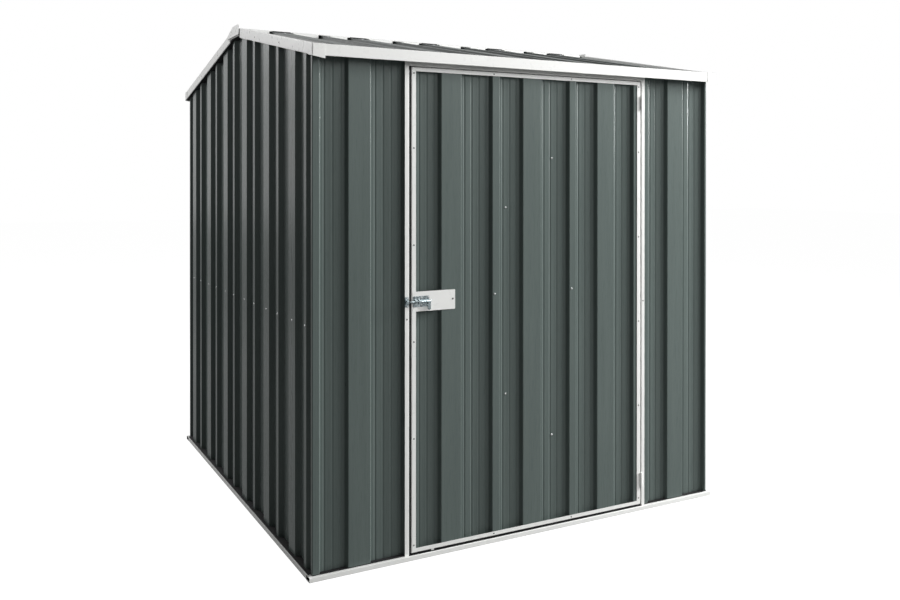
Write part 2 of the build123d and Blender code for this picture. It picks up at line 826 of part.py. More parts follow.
# Bolt: a round bar with a lug for the hand, drawn back just clear of its keeper
with BuildPart() as bolt:
    with BuildSketch(Plane.YZ.offset(bolt_tip - half_width)):
        with Locations((bolt_y, latch_level)):
            Circle(bolt_radius)
    extrude(amount=bolt_length)
    lug_x = bolt_tip + bolt_length - lug_width / 2 - half_width
    with BuildSketch(Plane.XZ.offset(-bolt_y - lug_t / 2)):
        with Locations((lug_x, latch_level - lug_drop / 2)):
            Rectangle(lug_width, lug_drop)
        with Locations((lug_x, latch_level - lug_drop)):
            Circle(lug_width / 2)
    extrude(amount=lug_t)
save(bolt, "bolt")

# Keeper: a base plate and a bored block on the latch jamb
with BuildPart() as bolt_keeper:
    keeper_right = opening_left - keeper_inset
    with BuildSketch(Plane.XZ.offset(-face_y)):
        with Locations((keeper_right - half_width, latch_level)):
            Rectangle(keeper_width, bolt_base_height, align=(Align.MAX, Align.CENTER))
    extrude(amount=bolt_base_t)
    with BuildSketch(Plane.XZ.offset(-face_y)):
        with Locations((keeper_right - keeper_width + keeper_inset - half_width, latch_level)):
            Rectangle(guide_width, guide_height + 2 * keeper_play, align=(Align.MIN, Align.CENTER))
    extrude(amount=guide_depth + latch_plate_t + keeper_play)
    with BuildSketch(Plane.YZ.offset(keeper_right - keeper_width - half_width)):
        with Locations((bolt_y, latch_level)):
            Circle(bolt_radius + keeper_play)
    extrude(amount=keeper_width + guide_width, mode=Mode.SUBTRACT)
save(bolt_keeper, "bolt_keeper")

print("roof slope", round(degrees(pitch_angle), 2), "eave crest", round(crest_height(half_depth), 1))
print("hinge axis", round(hinge_x, 3), round(hinge_y, 3), "bolt", round(bolt_y, 3), latch_level)
print("door", door_left, door_right, door_base, round(door_top, 2), "header", round(header_base, 2))
print("front top", round(front_top, 2), "eave base", round(eave_base, 2), "cap top", round(cap_top, 2))
print("fascia top", round(fascia_top, 2), "under the ridge", round(under_roof(0), 2))
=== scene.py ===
from math import atan2, ceil, cos, pi, radians, sin, tan

import bmesh
import bpy
from mathutils import Matrix, Vector


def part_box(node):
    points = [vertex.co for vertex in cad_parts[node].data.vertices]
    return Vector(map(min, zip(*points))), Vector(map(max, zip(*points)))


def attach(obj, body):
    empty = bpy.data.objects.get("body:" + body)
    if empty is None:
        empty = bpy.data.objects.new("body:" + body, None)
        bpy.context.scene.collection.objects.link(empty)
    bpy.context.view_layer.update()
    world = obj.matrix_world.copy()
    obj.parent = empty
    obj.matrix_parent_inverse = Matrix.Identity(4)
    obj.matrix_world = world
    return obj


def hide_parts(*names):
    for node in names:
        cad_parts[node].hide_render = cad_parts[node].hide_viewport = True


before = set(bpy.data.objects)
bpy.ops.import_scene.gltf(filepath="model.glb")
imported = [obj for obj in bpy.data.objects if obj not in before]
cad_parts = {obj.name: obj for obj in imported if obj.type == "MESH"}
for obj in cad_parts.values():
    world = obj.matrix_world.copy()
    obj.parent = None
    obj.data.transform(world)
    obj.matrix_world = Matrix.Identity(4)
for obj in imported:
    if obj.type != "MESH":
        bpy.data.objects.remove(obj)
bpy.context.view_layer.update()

# View: the shed is seen from outside its front left corner, a little above the latch, with the
# lens shifted as in a cropped photograph, so that the walls stand upright.
camera_place = Vector((-1.8492, -4.242, 1.3544))
camera_turn = radians(31.45)
camera_pitch = -0.0031
camera_roll = 0.0007
lens = bpy.data.cameras.new("lens")
lens.lens = 38.61
lens.sensor_width = 36
lens.shift_x = -0.1188
lens.shift_y = -0.1306
camera = bpy.data.objects.new("camera", lens)
bpy.context.scene.collection.objects.link(camera)
camera.matrix_world = (
    Matrix.Translation(camera_place)
    @ Matrix.Rotation(-camera_turn, 4, "Z")
    @ Matrix.Rotation(pi / 2 + camera_pitch, 4, "X")
    @ Matrix.Rotation(camera_roll, 4, "Z")
)
bpy.context.scene.camera = camera
bpy.context.scene.view_settings.view_transform = "Standard"

# Light and floor: a soft box on the right rakes across the front, with a tall strip beside it for
# the folds' edges. A broader box high in front lights the upper part, and one far out on the left
# lights the left gable. Weak light comes from all round, and the floor is white.
room_light = 0.09
floor_size = 60.0
floor_paint = 0.30
floor_glow = 0.965
floor_gloss_glow = 0.30
front_aim = Vector((0.0, -1.0, 1.3))
gable_aim = Vector((-0.87, 0.2, 1.7))
lamps = (
    ("side_box", (4.0, -3.1, 3.8), (2.0, 2.0), 190.0, front_aim),
    ("edge_strip", (5.6, -2.5, 2.9), (0.45, 2.4), 400.0, front_aim),
    ("front_box", (2.6, -6.0, 3.6), (4.0, 2.2), 125.0, front_aim),
    ("left_box", (-3.2, 3.4, 3.3), (1.6, 1.6), 92.0, gable_aim),
)


def linked(tree, kind, **sockets):
    """New node with the given sockets set, or joined where a value is another node's socket."""
    node = tree.nodes.new(kind)
    for name, value in sockets.items():
        socket = node.inputs[name.replace("_", " ")]
        if isinstance(value, bpy.types.NodeSocket):
            tree.links.new(value, socket)
        else:
            socket.default_value = value
    return node


def brighter(tree, first, second):
    """The larger of two numbers that go through a material."""
    larger = tree.nodes.new("ShaderNodeMath")
    larger.operation = "MAXIMUM"
    for socket, value in zip(larger.inputs, (first, second)):
        tree.links.new(value, socket)
    return larger.outputs[0]


def scaled(tree, value, top):
    """A number between 0 and 1, brought to between 0 and top."""
    ranged = linked(tree, "ShaderNodeMapRange", Value=value, To_Max=top)
    return ranged.outputs["Result"]


world = bpy.data.worlds.new("studio")
world.use_nodes = True
bpy.context.scene.world = world
world_tree = world.node_tree
world_tree.nodes.clear()
around = linked(world_tree, "ShaderNodeBackground", Color=(1, 1, 1, 1), Strength=room_light)
backdrop = linked(world_tree, "ShaderNodeBackground", Color=(1, 1, 1, 1), Strength=1.0)
world_ray = world_tree.nodes.new("ShaderNodeLightPath").outputs
mirrored = brighter(world_tree, world_ray["Is Glossy Ray"], world_ray["Is Transmission Ray"])
shown = brighter(world_tree, world_ray["Is Camera Ray"], mirrored)
world_mix = linked(world_tree, "ShaderNodeMixShader", Fac=shown)
world_tree.links.new(around.outputs[0], world_mix.inputs[1])
world_tree.links.new(backdrop.outputs[0], world_mix.inputs[2])
linked(world_tree, "ShaderNodeOutputWorld", Surface=world_mix.outputs[0])

floor_mesh = bpy.data.meshes.new("floor")
floor_mesh.from_pydata(
    [(x * floor_size / 2, y * floor_size / 2, 0) for x, y in ((-1, -1), (1, -1), (1, 1), (-1, 1))],
    [],
    [(0, 1, 2, 3)],
)
floor = bpy.data.objects.new("floor", floor_mesh)
bpy.context.scene.collection.objects.link(floor)
floor_finish = bpy.data.materials.new("white_floor")
floor_finish.use_nodes = True
floor_tree = floor_finish.node_tree
floor_tree.nodes.clear()
floor_colour = (floor_paint, floor_paint, floor_paint, 1)
floor_matt = linked(floor_tree, "ShaderNodeBsdfDiffuse", Color=floor_colour)
floor_ray = floor_tree.nodes.new("ShaderNodeLightPath").outputs
mirrored = brighter(floor_tree, floor_ray["Is Glossy Ray"], floor_ray["Is Transmission Ray"])
glow = brighter(
    floor_tree,
    scaled(floor_tree, floor_ray["Is Camera Ray"], floor_glow),
    scaled(floor_tree, mirrored, floor_gloss_glow),
)
floor_lit = linked(floor_tree, "ShaderNodeEmission", Color=(1, 1, 1, 1), Strength=glow)
floor_both = floor_tree.nodes.new("ShaderNodeAddShader")
floor_tree.links.new(floor_matt.outputs[0], floor_both.inputs[0])
floor_tree.links.new(floor_lit.outputs[0], floor_both.inputs[1])
linked(floor_tree, "ShaderNodeOutputMaterial", Surface=floor_both.outputs[0])
floor_mesh.materials.append(floor_finish)

for name, place, size, power, aim in lamps:
    light = bpy.data.lights.new(name, "AREA")
    light.shape = "RECTANGLE"
    light.size, light.size_y = size
    light.energy = power
    stand = bpy.data.objects.new(name, light)
    bpy.context.scene.collection.objects.link(stand)
    stand.location = place
    stand.visible_camera = False
    stand.rotation_euler = (aim - stand.location).to_track_quat("-Z", "Y").to_euler()

# Base rails: four lengths of rolled channel lie on the ground, open inwards, and the walls stand
# on them. They are of pre-painted steel in off-white, and the front one is the door's threshold.
rail_t = 0.0012
base_height = 0.017
base_overhang = 0.0126
base_inside = 0.026
channel_radius = 0.0018
arc_steps = 4
arc_share = 0.4
arc_border = 0.0002
smooth_below = radians(35)
pale_colour = (0.86, 0.865, 0.845)
pale_shade = (0.82, 0.825, 0.805)
front_left_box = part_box("front_panel_left")
half_width = -front_left_box[0].x
half_depth = -front_left_box[0].y


def bent(points, radius=channel_radius):
    """Line of folded sheet: each corner becomes an arc, with one more point close to both ends."""
    points = [Vector(point) for point in points]
    line = [points[0]]
    for before, corner, after in zip(points, points[1:], points[2:]):
        arriving = before - corner
        leaving = after - corner
        turn = pi - arriving.angle(leaving)
        shortest = min(arriving.length, leaving.length)
        reach = min(radius * tan(turn / 2), arc_share * shortest)
        first = corner + arriving.normalized() * reach
        last = corner + leaving.normalized() * reach
        line.append(first + arriving.normalized() * arc_border)
        for step in range(arc_steps + 1):
            share = step / arc_steps
            line.append(first.lerp(corner, share).lerp(corner.lerp(last, share), share))
        line.append(last + leaving.normalized() * arc_border)
    line.append(points[-1])
    return line


def behind(line, thickness):
    """The sheet's other face: the line moved to its left by the sheet's thickness."""
    normals = []
    for here, after in zip(line, line[1:]):
        run = (after - here).normalized()
        normals.append(Vector((-run.y, run.x)))
    moved = []
    for number, here in enumerate(line):
        before = normals[max(number - 1, 0)]
        following = normals[min(number, len(normals) - 1)]
        moved.append(here + (before + following) * (thickness / (1 + before.dot(following))))
    return moved


def fold(shape, line, thickness, place, low, high):
    """Add folded sheet to a mesh. place puts a point of its section at the low or high end."""
    rows = []
    for side in (line, behind(line, thickness)):
        for end in (low, high):
            rows.append([shape.verts.new(place(point, end)) for point in side])
    face_low, face_high, back_low, back_high = rows
    ring = (face_low, face_high, back_high, back_low, face_low)
    for one, other in zip(ring, ring[1:]):
        for here in range(len(line) - 1):
            shape.faces.new((one[here], one[here + 1], other[here + 1], other[here]))
    for here in (0, -1):
        shape.faces.new((face_low[here], face_high[here], back_high[here], back_low[here]))


def level_x(side):
    """Place for an upright section that runs from left to right. side -1 turns it round."""
    return lambda point, x: (x, side * point.x, point.y)


def level_y(side):
    """Place for an upright section that runs from front to back. side -1 turns it round."""
    return lambda point, y: (side * point.x, y, point.y)


def piece(name, shape, finish, body, nodes):
    """Make an object of a mesh, with its finish, and hide the CAD nodes it stands for."""
    bmesh.ops.recalc_face_normals(shape, faces=shape.faces)
    mesh = bpy.data.meshes.new(name)
    shape.to_mesh(mesh)
    shape.free()
    mesh.polygons.foreach_set("use_smooth", [True] * len(mesh.polygons))
    mesh.set_sharp_from_angle(angle=smooth_below)
    mesh.materials.append(finish)
    made = bpy.data.objects.new(name, mesh)
    bpy.context.scene.collection.objects.link(made)
    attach(made, body)
    if nodes:
        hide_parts(*nodes)


def noise(tree, scale, detail, stretch=(1, 1, 1)):
    """Noise in the object's own space, drawn out along an axis where stretch is small."""
    place = tree.nodes.new("ShaderNodeTexCoord")
    drawn = linked(tree, "ShaderNodeMapping", Vector=place.outputs["Object"], Scale=stretch)
    pattern = linked(
        tree, "ShaderNodeTexNoise", Vector=drawn.outputs["Vector"], Scale=scale, Detail=detail
    )
    return pattern.outputs["Fac"]


def between(tree, factor, low, high):
    """A number that goes from low to high as the factor goes through its middle part."""
    ranged = linked(
        tree,
        "ShaderNodeMapRange",
        Value=factor,
        From_Min=0.3,
        From_Max=0.7,
        To_Min=low,
        To_Max=high,
    )
    return ranged.outputs["Result"]


def new_finish(name):
    """A new material, with its node tree and its surface shader."""
    finish = bpy.data.materials.new(name)
    finish.use_nodes = True
    return finish, finish.node_tree, finish.node_tree.nodes["Principled BSDF"]


def mixed(tree, factor, first, second):
    """The colour between two others, where the factor says how much of the second it holds."""
    mix = linked(tree, "ShaderNodeMix", Factor=factor)
    mix.data_type = "RGBA"
    mix.inputs[6].default_value = (*first, 1)
    mix.inputs[7].default_value = (*second, 1)
    return mix.outputs[2]


def painted_steel(name, shade, colour, roughness, peel, gloss_level=0.5, stretch=(1, 1, 1)):
    """Coated steel: two close shades drawn out along the rolling, and fine orange peel."""
    finish, tree, shader = new_finish(name)
    cloud = mixed(tree, between(tree, noise(tree, 5, 5, stretch), 0, 1), shade, colour)
    tree.links.new(cloud, shader.inputs["Base Color"])
    gloss = between(tree, noise(tree, 38, 6, stretch), roughness - 0.05, roughness + 0.06)
    tree.links.new(gloss, shader.inputs["Roughness"])
    shader.inputs["Specular IOR Level"].default_value = gloss_level
    grain = linked(
        tree, "ShaderNodeBump", Strength=peel, Distance=0.0002, Height=noise(tree, 620, 3)
    )
    wave = linked(
        tree,
        "ShaderNodeBump",
        Strength=peel,
        Distance=0.0012,
        Height=noise(tree, 9, 2, stretch),
        Normal=grain.outputs["Normal"],
    )
    tree.links.new(wave.outputs["Normal"], shader.inputs["Normal"])
    return finish


pale_paint = painted_steel("pale_paint", pale_shade, pale_colour, roughness=0.30, peel=0.12)


def base_line(crest):
    """Section of a base rail, from its open side over the top and back under it."""
    return [
        (crest + base_inside, base_height),
        (crest - base_overhang, base_height),
        (crest - base_overhang, 0),
        (crest + base_inside, 0),
    ]


front_reach = half_width + base_overhang
side_reach = half_depth - base_inside
for name, side, run, crest, end in (
    ("base_rail_front", -1, level_x, half_depth, front_reach),
    ("base_rail_back", 1, level_x, half_depth, front_reach),
    ("base_rail_left", -1, level_y, half_width, side_reach),
    ("base_rail_right", 1, level_y, half_width, side_reach),
):
    rail = bmesh.new()
    fold(rail, bent(base_line(-crest)), rail_t, run(-side), -end, end)
    piece(name, rail, pale_paint, "shed", [name])

# Rail plugs: moulded black plastic plugs close the open ends of the front and back base rails.
# Each has a thin head that caps the channel and a body pushed inside it.
plug_head_t = 0.0022
plug_reach = 0.022
plug_chamfer = 0.0008
plug_play = 0.0001
plug_colour = (0.012, 0.012, 0.013)
plug_shade = (0.02, 0.02, 0.021)
plug_plastic = painted_steel("black_plastic", plug_shade, plug_colour, roughness=0.5, peel=0.3)


def block(shape, low, high, chamfer):
    """Add a box with chamfered edges to a mesh."""
    low = Vector(low)
    high = Vector(high)
    made = bmesh.ops.create_cube(shape, size=1)
    size = high - low
    for vert in made["verts"]:
        middle = (low + high) / 2
        vert.co = Vector([middle[axis] + vert.co[axis] * size[axis] for axis in range(3)])
    edges = list({edge for vert in made["verts"] for edge in vert.link_edges})
    bmesh.ops.bevel(shape, geom=edges, offset=chamfer, segments=2, profile=0.5, affect="EDGES")

def spread(side, one, other):
    """Two distances from the middle as places on one side of it, the lower one first."""
    return sorted((side * one, side * other))


plugs = bmesh.new()
plug_x = half_width + base_overhang - rail_t
for side_x in (-1, 1):
    for side_y in (-1, 1):
        ends_y = spread(side_y, half_depth - base_inside, half_depth + base_overhang - rail_t)
        for reach, border in ((plug_reach, rail_t), (plug_head_t, rail_t / 2)):
            ends_x = spread(side_x, plug_x, plug_x - reach)
            block(
                plugs,
                (ends_x[0], ends_y[0], border + plug_play),
                (ends_x[1], ends_y[1], base_height - border - plug_play),
                plug_chamfer,
            )
piece("rail_plugs", plugs, plug_plastic, "shed", [])

# Front panels: two ribbed sheets of dark pre-painted steel stand left and right of the doorway,
# folded round the corners to meet the side walls. Wide and narrow ribs alternate, and shallow
# V grooves, drawn a little wider than the CAD's, stiffen the pans between them.
sheet_t = 0.001
front_first_rib = 0.126
sheet_pitch = 0.345
wide_rib = 0.080
narrow_rib = 0.030
narrow_pan = 0.101
web_run = 0.007
rib_depth = 0.0175
groove_width = 0.0105
cad_groove_width = 0.008
groove_depth = 0.0015
groove_pitch = 0.0295
corner_rib = 0.016
far_corner_rib = 0.010
corner_end = corner_rib + web_run
sheet_radius = 0.0032
sheet_seat = 0.0001
dark_colour = (0.112, 0.139, 0.131)
dark_shade = (0.100, 0.125, 0.118)
dark_gloss = 0.16
wall_paint = painted_steel(
    "dark_wall_paint",
    dark_shade,
    dark_colour,
    roughness=0.29,
    peel=0.06,
    gloss_level=dark_gloss,
    stretch=(9, 9, 0.35),
)


def rib_spans(first_rib, pitch, count):
    """Start and end of each rib: a narrow rib stands one narrow pan before each wide one."""
    spans = []
    for number in range(count):
        start = first_rib + number * pitch
        spans.append((start - narrow_pan - narrow_rib, start - narrow_pan))
        spans.append((start, start + wide_rib))
    return spans


def pan_points(start, end):
    """Floor of a pan with its V grooves, evenly spread over the floor's width."""
    count = max(round((end - start) / groove_pitch), 0)
    first = (start + end - (count - 1) * groove_pitch) / 2
    points = []
    for number in range(count):
        middle = first + number * groove_pitch
        points.append((middle - groove_width / 2, rib_depth))
        points.append((middle, rib_depth + groove_depth))
        points.append((middle + groove_width / 2, rib_depth))
    return points


def sheet_face(ribs, start, end):
    """Outer face of a sheet from start to end. A cut that falls on a web is made on its rib."""
    inside = [(max(a, start), min(b, end)) for a, b in ribs if b > start and a - web_run < end]
    points = []
    floor_start = start
    if inside[0][0] - web_run > start:
        points.append((start, rib_depth))
    for rib_start, rib_end in inside:
        if rib_start - web_run > start:
            points += pan_points(floor_start, rib_start - web_run)
            points.append((rib_start - web_run, rib_depth))
            points.append((min(rib_start, end), 0))
        else:
            points.append((start, 0))
        if rib_end < end:
            points.append((rib_end, 0))
            points.append((rib_end + web_run, rib_depth))
        elif rib_start < end:
            points.append((end, 0))
        floor_start = rib_end + web_run
    if inside[-1][1] < end:
        points += pan_points(floor_start, end)
        points.append((end, rib_depth))
    return points


def upright_sheet(name, line, side, body, low_z, high_z):
    """Ribbed sheet in the front wall, where side is -1, or in the back wall, where it is 1."""
    made = bmesh.new()
    fold(
        made,
        line,
        sheet_t,
        lambda point, z: (point.x - half_width, side * (half_depth - point.y), z),
        low_z,
        high_z,
    )
    piece(name, made, wall_paint, body, [name])
def lap(first_rib, pitch, number):
    """Middle of the narrow rib before a wide one, where two sheets meet."""
    return first_rib + number * pitch - narrow_pan - narrow_rib / 2
wall_width = 2 * half_width
front_base = front_left_box[0].z
front_top = front_left_box[1].z
module_count = ceil((wall_width - front_first_rib) / sheet_pitch)
front_ribs = rib_spans(front_first_rib, sheet_pitch, module_count)
front_ribs = [span for span in front_ribs if span[1] < wall_width - far_corner_rib - 2 * web_run]
front_ribs[0] = (0, front_ribs[0][1])
front_ribs.append((wall_width - far_corner_rib, wall_width))
near_fold = [(rib_depth, corner_end), (0, corner_rib)]
far_fold = [(wall_width, corner_rib), (wall_width - rib_depth, corner_end)]
left_panel_end = front_left_box[1].x + half_width
right_panel_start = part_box("front_panel_right")[0].x + half_width
left_panel_line = bent(near_fold + sheet_face(front_ribs, 0, left_panel_end), sheet_radius)
right_panel_line = bent(
    sheet_face(front_ribs, right_panel_start, wall_width) + far_fold, sheet_radius
)
upright_sheet("front_panel_left", left_panel_line, -1, "shed", front_base, front_top)
upright_sheet("front_panel_right", right_panel_line, -1, "shed", front_base, front_top)

# Back wall: two sheets of the same rolling, from corner to corner, that meet on a narrow rib.
# They stand on the back base rail and are screwed to it and to the mid girt.
back_split = lap(front_first_rib, sheet_pitch, 3)
back_lines = (
    bent(near_fold + sheet_face(front_ribs, 0, back_split), sheet_radius),
    bent(sheet_face(front_ribs, back_split, wall_width) + far_fold, sheet_radius),
)
for number, line in enumerate(back_lines, start=1):
    upright_sheet(f"back_wall_sheet_{number}", line, 1, "shed", front_base, front_top)

# Side walls: three sheets each, of the same rolling, cut at the top to the roof's slope. They
# meet on narrow ribs and tuck behind the folded corners of the front and back walls.
side_first_rib = 0.197
ridge_height = 1.999
roof_pitch = radians(10.25)
groove_slope = atan2(groove_depth, cad_groove_width / 2)
sheet_depth = rib_depth + groove_depth + sheet_t / cos(groove_slope)
roof_depth = sheet_depth + sheet_seat
wall_depth = 2 * half_depth
side_start = corner_end
side_end = wall_depth - corner_end
side_ribs = rib_spans(side_first_rib, sheet_pitch, ceil((side_end - side_first_rib) / sheet_pitch))
side_laps = [lap(side_first_rib, sheet_pitch, number) for number in (2, 4)]
side_splits = [side_start, *side_laps, side_end]


def crest_height(y):
    """Height of the roof ribs' upper faces at a distance y from the ridge."""
    return ridge_height - abs(y) * tan(roof_pitch)


def with_point_at(line, along):
    """The same line with one more point where it passes a place along the wall."""
    for number, (here, after) in enumerate(zip(line, line[1:])):
        if here.x < along < after.x:
            share = (along - here.x) / (after.x - here.x)
            return line[: number + 1] + [here.lerp(after, share)] + line[number + 1 :]
    return line
def wall_foot(y):
    """Height of a side sheet's lower edge, which is level."""
    return front_base


def wall_head(y):
    """Height of a side sheet's upper edge, just under the roof sheets."""
    return crest_height(y) - (roof_depth + sheet_seat) / cos(roof_pitch)


for number in range(3):
    face = sheet_face(side_ribs, side_splits[number], side_splits[number + 1])
    line = with_point_at(bent(face, sheet_radius), half_depth)
    for side, wall in ((-1, "left"), (1, "right")):
        wall_sheet = bmesh.new()
        fold(
            wall_sheet,
            line,
            sheet_t,
            lambda point, height: (
                side * (half_width - point.y),
                point.x - half_depth,
                height(point.x - half_depth),
            ),
            wall_foot,
            wall_head,
        )
        name = f"{wall}_wall_sheet_{number + 1}"
        piece(name, wall_sheet, wall_paint, "shed", [name])

# Painted shade at the wall foot: black strips lie on the base rails under the sheets and fill the
# hollows of their ribs, but leave the doorway free. They stand for the shade on the rails' top.
foot_shade_t = 0.003
foot_shade_in = 0.020
foot_shade_out = 0.009
foot_shade_proud = 0.0005
foot_shade_chamfer = 0.0006
# Near-black paint for every strip of painted shade on the walls and trims.
shade_foam_colour = (0.012, 0.012, 0.013)
shade_foam_tone = (0.018, 0.018, 0.019)
shade_foam = painted_steel(
    "shade_foam", shade_foam_tone, shade_foam_colour, roughness=0.85, peel=0.8, gloss_level=0.2
)
foot_shade_strips = bmesh.new()
foot_shade_top = base_height + foot_shade_t
for side in (-1, 1):
    ends = spread(side, half_width - foot_shade_in, half_width + foot_shade_out)
    reach = half_depth - foot_shade_in
    low = (ends[0], -reach, base_height)
    block(foot_shade_strips, low, (ends[1], reach, foot_shade_top), foot_shade_chamfer)
foot_spans = (
    (-1, -half_width, left_panel_end - half_width),
    (-1, right_panel_start - half_width, half_width),
    (1, -half_width, half_width),
)
for side, start, end in foot_spans:
    ends = spread(side, half_depth - foot_shade_in, half_depth + foot_shade_proud)
    low = (start, ends[0], base_height)
    block(foot_shade_strips, low, (end, ends[1], foot_shade_top), foot_shade_chamfer)
piece("foot_shade_strips", foot_shade_strips, shade_foam, "shed", [])

# Inside frame: angles along the eaves and gables, the ridge beam, the mid girts, and the door's
# middle rail and braces are rolled from bare galvanised strip, with a spangled zinc face.
zinc_dark = (0.33, 0.345, 0.35)
zinc_light = (0.50, 0.515, 0.52)


def galvanised_steel():
    """Hot-dip zinc: flat spangles of several greys, with a little gloss between them."""
    finish, tree, shader = new_finish("galvanised_steel")
    shader.inputs["Metallic"].default_value = 0.85
    place = tree.nodes.new("ShaderNodeTexCoord")
    spangle = linked(tree, "ShaderNodeTexVoronoi", Vector=place.outputs["Object"], Scale=110)
    grey = tree.nodes.new("ShaderNodeSeparateColor")
    tree.links.new(spangle.outputs["Color"], grey.inputs["Color"])
    colour = mixed(tree, grey.outputs["Red"], zinc_dark, zinc_light)
    tree.links.new(colour, shader.inputs["Base Color"])
    gloss = linked(
        tree, "ShaderNodeMapRange", Value=grey.outputs["Green"], To_Min=0.36, To_Max=0.55
    )
    tree.links.new(gloss.outputs["Result"], shader.inputs["Roughness"])
    grain = linked(
        tree, "ShaderNodeBump", Strength=0.15, Distance=0.0002, Height=noise(tree, 300, 4)
    )
    tree.links.new(grain.outputs["Normal"], shader.inputs["Normal"])
    return finish


bare_zinc = galvanised_steel()
inside_frame = (
    "eave_angles",
    "gable_angles",
    "ridge_beam",
    "mid_girts",
    "door_mid_rail",
    "door_braces",
)
for node in inside_frame:
    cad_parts[node].data.materials.clear()
    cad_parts[node].data.materials.append(bare_zinc)

# Door surround: a rolled channel caps each panel's edge, and a shallow header spans between them
# over the door. All three are of off-white painted steel, riveted together at the top corners.
jamb_face = 0.015
header_height = 0.016
rail_inner = sheet_depth + sheet_seat
rail_outer = rail_inner + rail_t


def channel_line(web, open_to, face):
    """Section of a channel that wraps the front wall: front flange, web and back flange."""
    line = [
        (web + open_to * face, -rail_t),
        (web, -rail_t),
        (web, rail_outer),
        (web + open_to * face, rail_outer),
    ]
    return bent(line if open_to > 0 else line[::-1])


def upright_channel(name, web, open_to, face, body, low_z, high_z):
    """Upright channel with its web at a place along the front. open_to is its mouth's side."""
    made = bmesh.new()
    fold(
        made,
        channel_line(web, open_to, face),
        rail_t,
        lambda point, z: (point.x - half_width, point.y - half_depth, z),
        low_z,
        high_z,
    )
    piece(name, made, pale_paint, body, [name])


def level_channel(shape, start, end, web_z, open_to, face):
    """Add a level channel to a mesh, from start to end along the front."""
    fold(
        shape,
        channel_line(web_z, open_to, face),
        rail_t,
        lambda point, x: (x, point.y - half_depth, point.x),
        start,
        end,
    )


jamb_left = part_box("door_jamb_left")
jamb_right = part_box("door_jamb_right")
opening_left = jamb_left[1].x + half_width
opening_right = jamb_right[0].x + half_width
for name, web, open_to, box in (
    ("door_jamb_left", opening_left, -1, jamb_left),
    ("door_jamb_right", opening_right, 1, jamb_right),
):
    upright_channel(name, web, open_to, jamb_face, "shed", box[0].z, box[1].z)
header_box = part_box("door_header")
header = bmesh.new()
level_channel(header, header_box[0].x, header_box[1].x, header_box[0].z, 1, header_height)
piece("door_header", header, pale_paint, "shed", ["door_header"])

# Roof sheets: two ribbed sheets of the same rolling on each slope, from the ridge out over the
# eaves. They lap on a narrow rib and are screwed through the ribs into the frame below.
eave_overhang = 0.044
gable_overhang = 0.0126
trim_t = 0.0012
trim_inner = gable_overhang - trim_t
roof_start = roof_depth * tan(roof_pitch) + sheet_seat
roof_end = (half_depth + eave_overhang - trim_t - sheet_seat) / cos(roof_pitch)
roof_colour = (0.034, 0.045, 0.042)
roof_shade = (0.029, 0.039, 0.036)
roof_paint = painted_steel(
    "dark_roof_paint",
    roof_shade,
    roof_colour,
    roughness=0.42,
    peel=0.04,
    gloss_level=dark_gloss,
    stretch=(9, 0.35, 9),
)
roof_left = sheet_seat - trim_inner
roof_right = wall_width + trim_inner - sheet_seat
roof_ribs = list(front_ribs)
roof_ribs[0] = (roof_left, front_ribs[0][1])
roof_ribs[-1] = (front_ribs[-1][0], roof_right)


def on_slope(side):
    """Place on a roof slope, a way down from the ridge. side is -1 for the front slope."""
    return lambda point, down: (
        point.x - half_width,
        side * (down * cos(roof_pitch) - point.y * sin(roof_pitch)),
        ridge_height - down * sin(roof_pitch) - point.y * cos(roof_pitch),
    )


roof_lines = (
    bent(sheet_face(roof_ribs, roof_left, back_split), sheet_radius),
    bent(sheet_face(roof_ribs, back_split, roof_right), sheet_radius),
)
for side, slope in ((-1, "front"), (1, "back")):
    for number, line in enumerate(roof_lines, start=1):
        roof_sheet = bmesh.new()
        fold(roof_sheet, line, sheet_t, on_slope(side), roof_start, roof_end)
        name = f"roof_{slope}_sheet_{number}"
        piece(name, roof_sheet, roof_paint, "shed", [name])

# Ridge cap: a folded strip of off-white painted steel lies over the ribs along the ridge. Its
# edges are cut beside every rib and turned down into the pans to keep the rain out.
cap_reach = 0.078
cap_lift = 0.0018
cap_lip_gap = 0.005
cap_lip_stand = 0.0003
cap_lip_hold = 4 * trim_t
cap_radius = 0.006
cap_end = half_width + trim_inner - sheet_seat
cap_y = cap_reach * cos(roof_pitch)
cap_top = ridge_height + (cap_lift + trim_t) / cos(roof_pitch)
cap_edge = cap_top - cap_y * tan(roof_pitch)
cap_lip_base = crest_height(cap_y) - (rib_depth - sheet_seat) / cos(roof_pitch)
ridge_cap = bmesh.new()
cap_line = bent([(cap_y, cap_edge), (0, cap_top), (-cap_y, cap_edge)], cap_radius)
fold(ridge_cap, cap_line, trim_t, level_x(1), -cap_end, cap_end)
lip_root = cap_y - cap_lip_hold
cap_lip = [
    (lip_root, cap_edge + (cap_y - lip_root) * tan(roof_pitch) - cap_lip_stand),
    (cap_y + cap_lip_stand, cap_edge - cap_lip_stand),
    (cap_y + cap_lip_stand, cap_lip_base),
]
for (_, rib_end), (next_rib, _) in zip(roof_ribs, roof_ribs[1:]):
    start = rib_end + web_run + cap_lip_gap - half_width
    end = next_rib - web_run - cap_lip_gap - half_width
    for side in (-1, 1):
        fold(ridge_cap, bent(cap_lip), -trim_t, level_x(side), start, end)
piece("ridge_cap", ridge_cap, pale_paint, "shed", ["ridge_cap"])

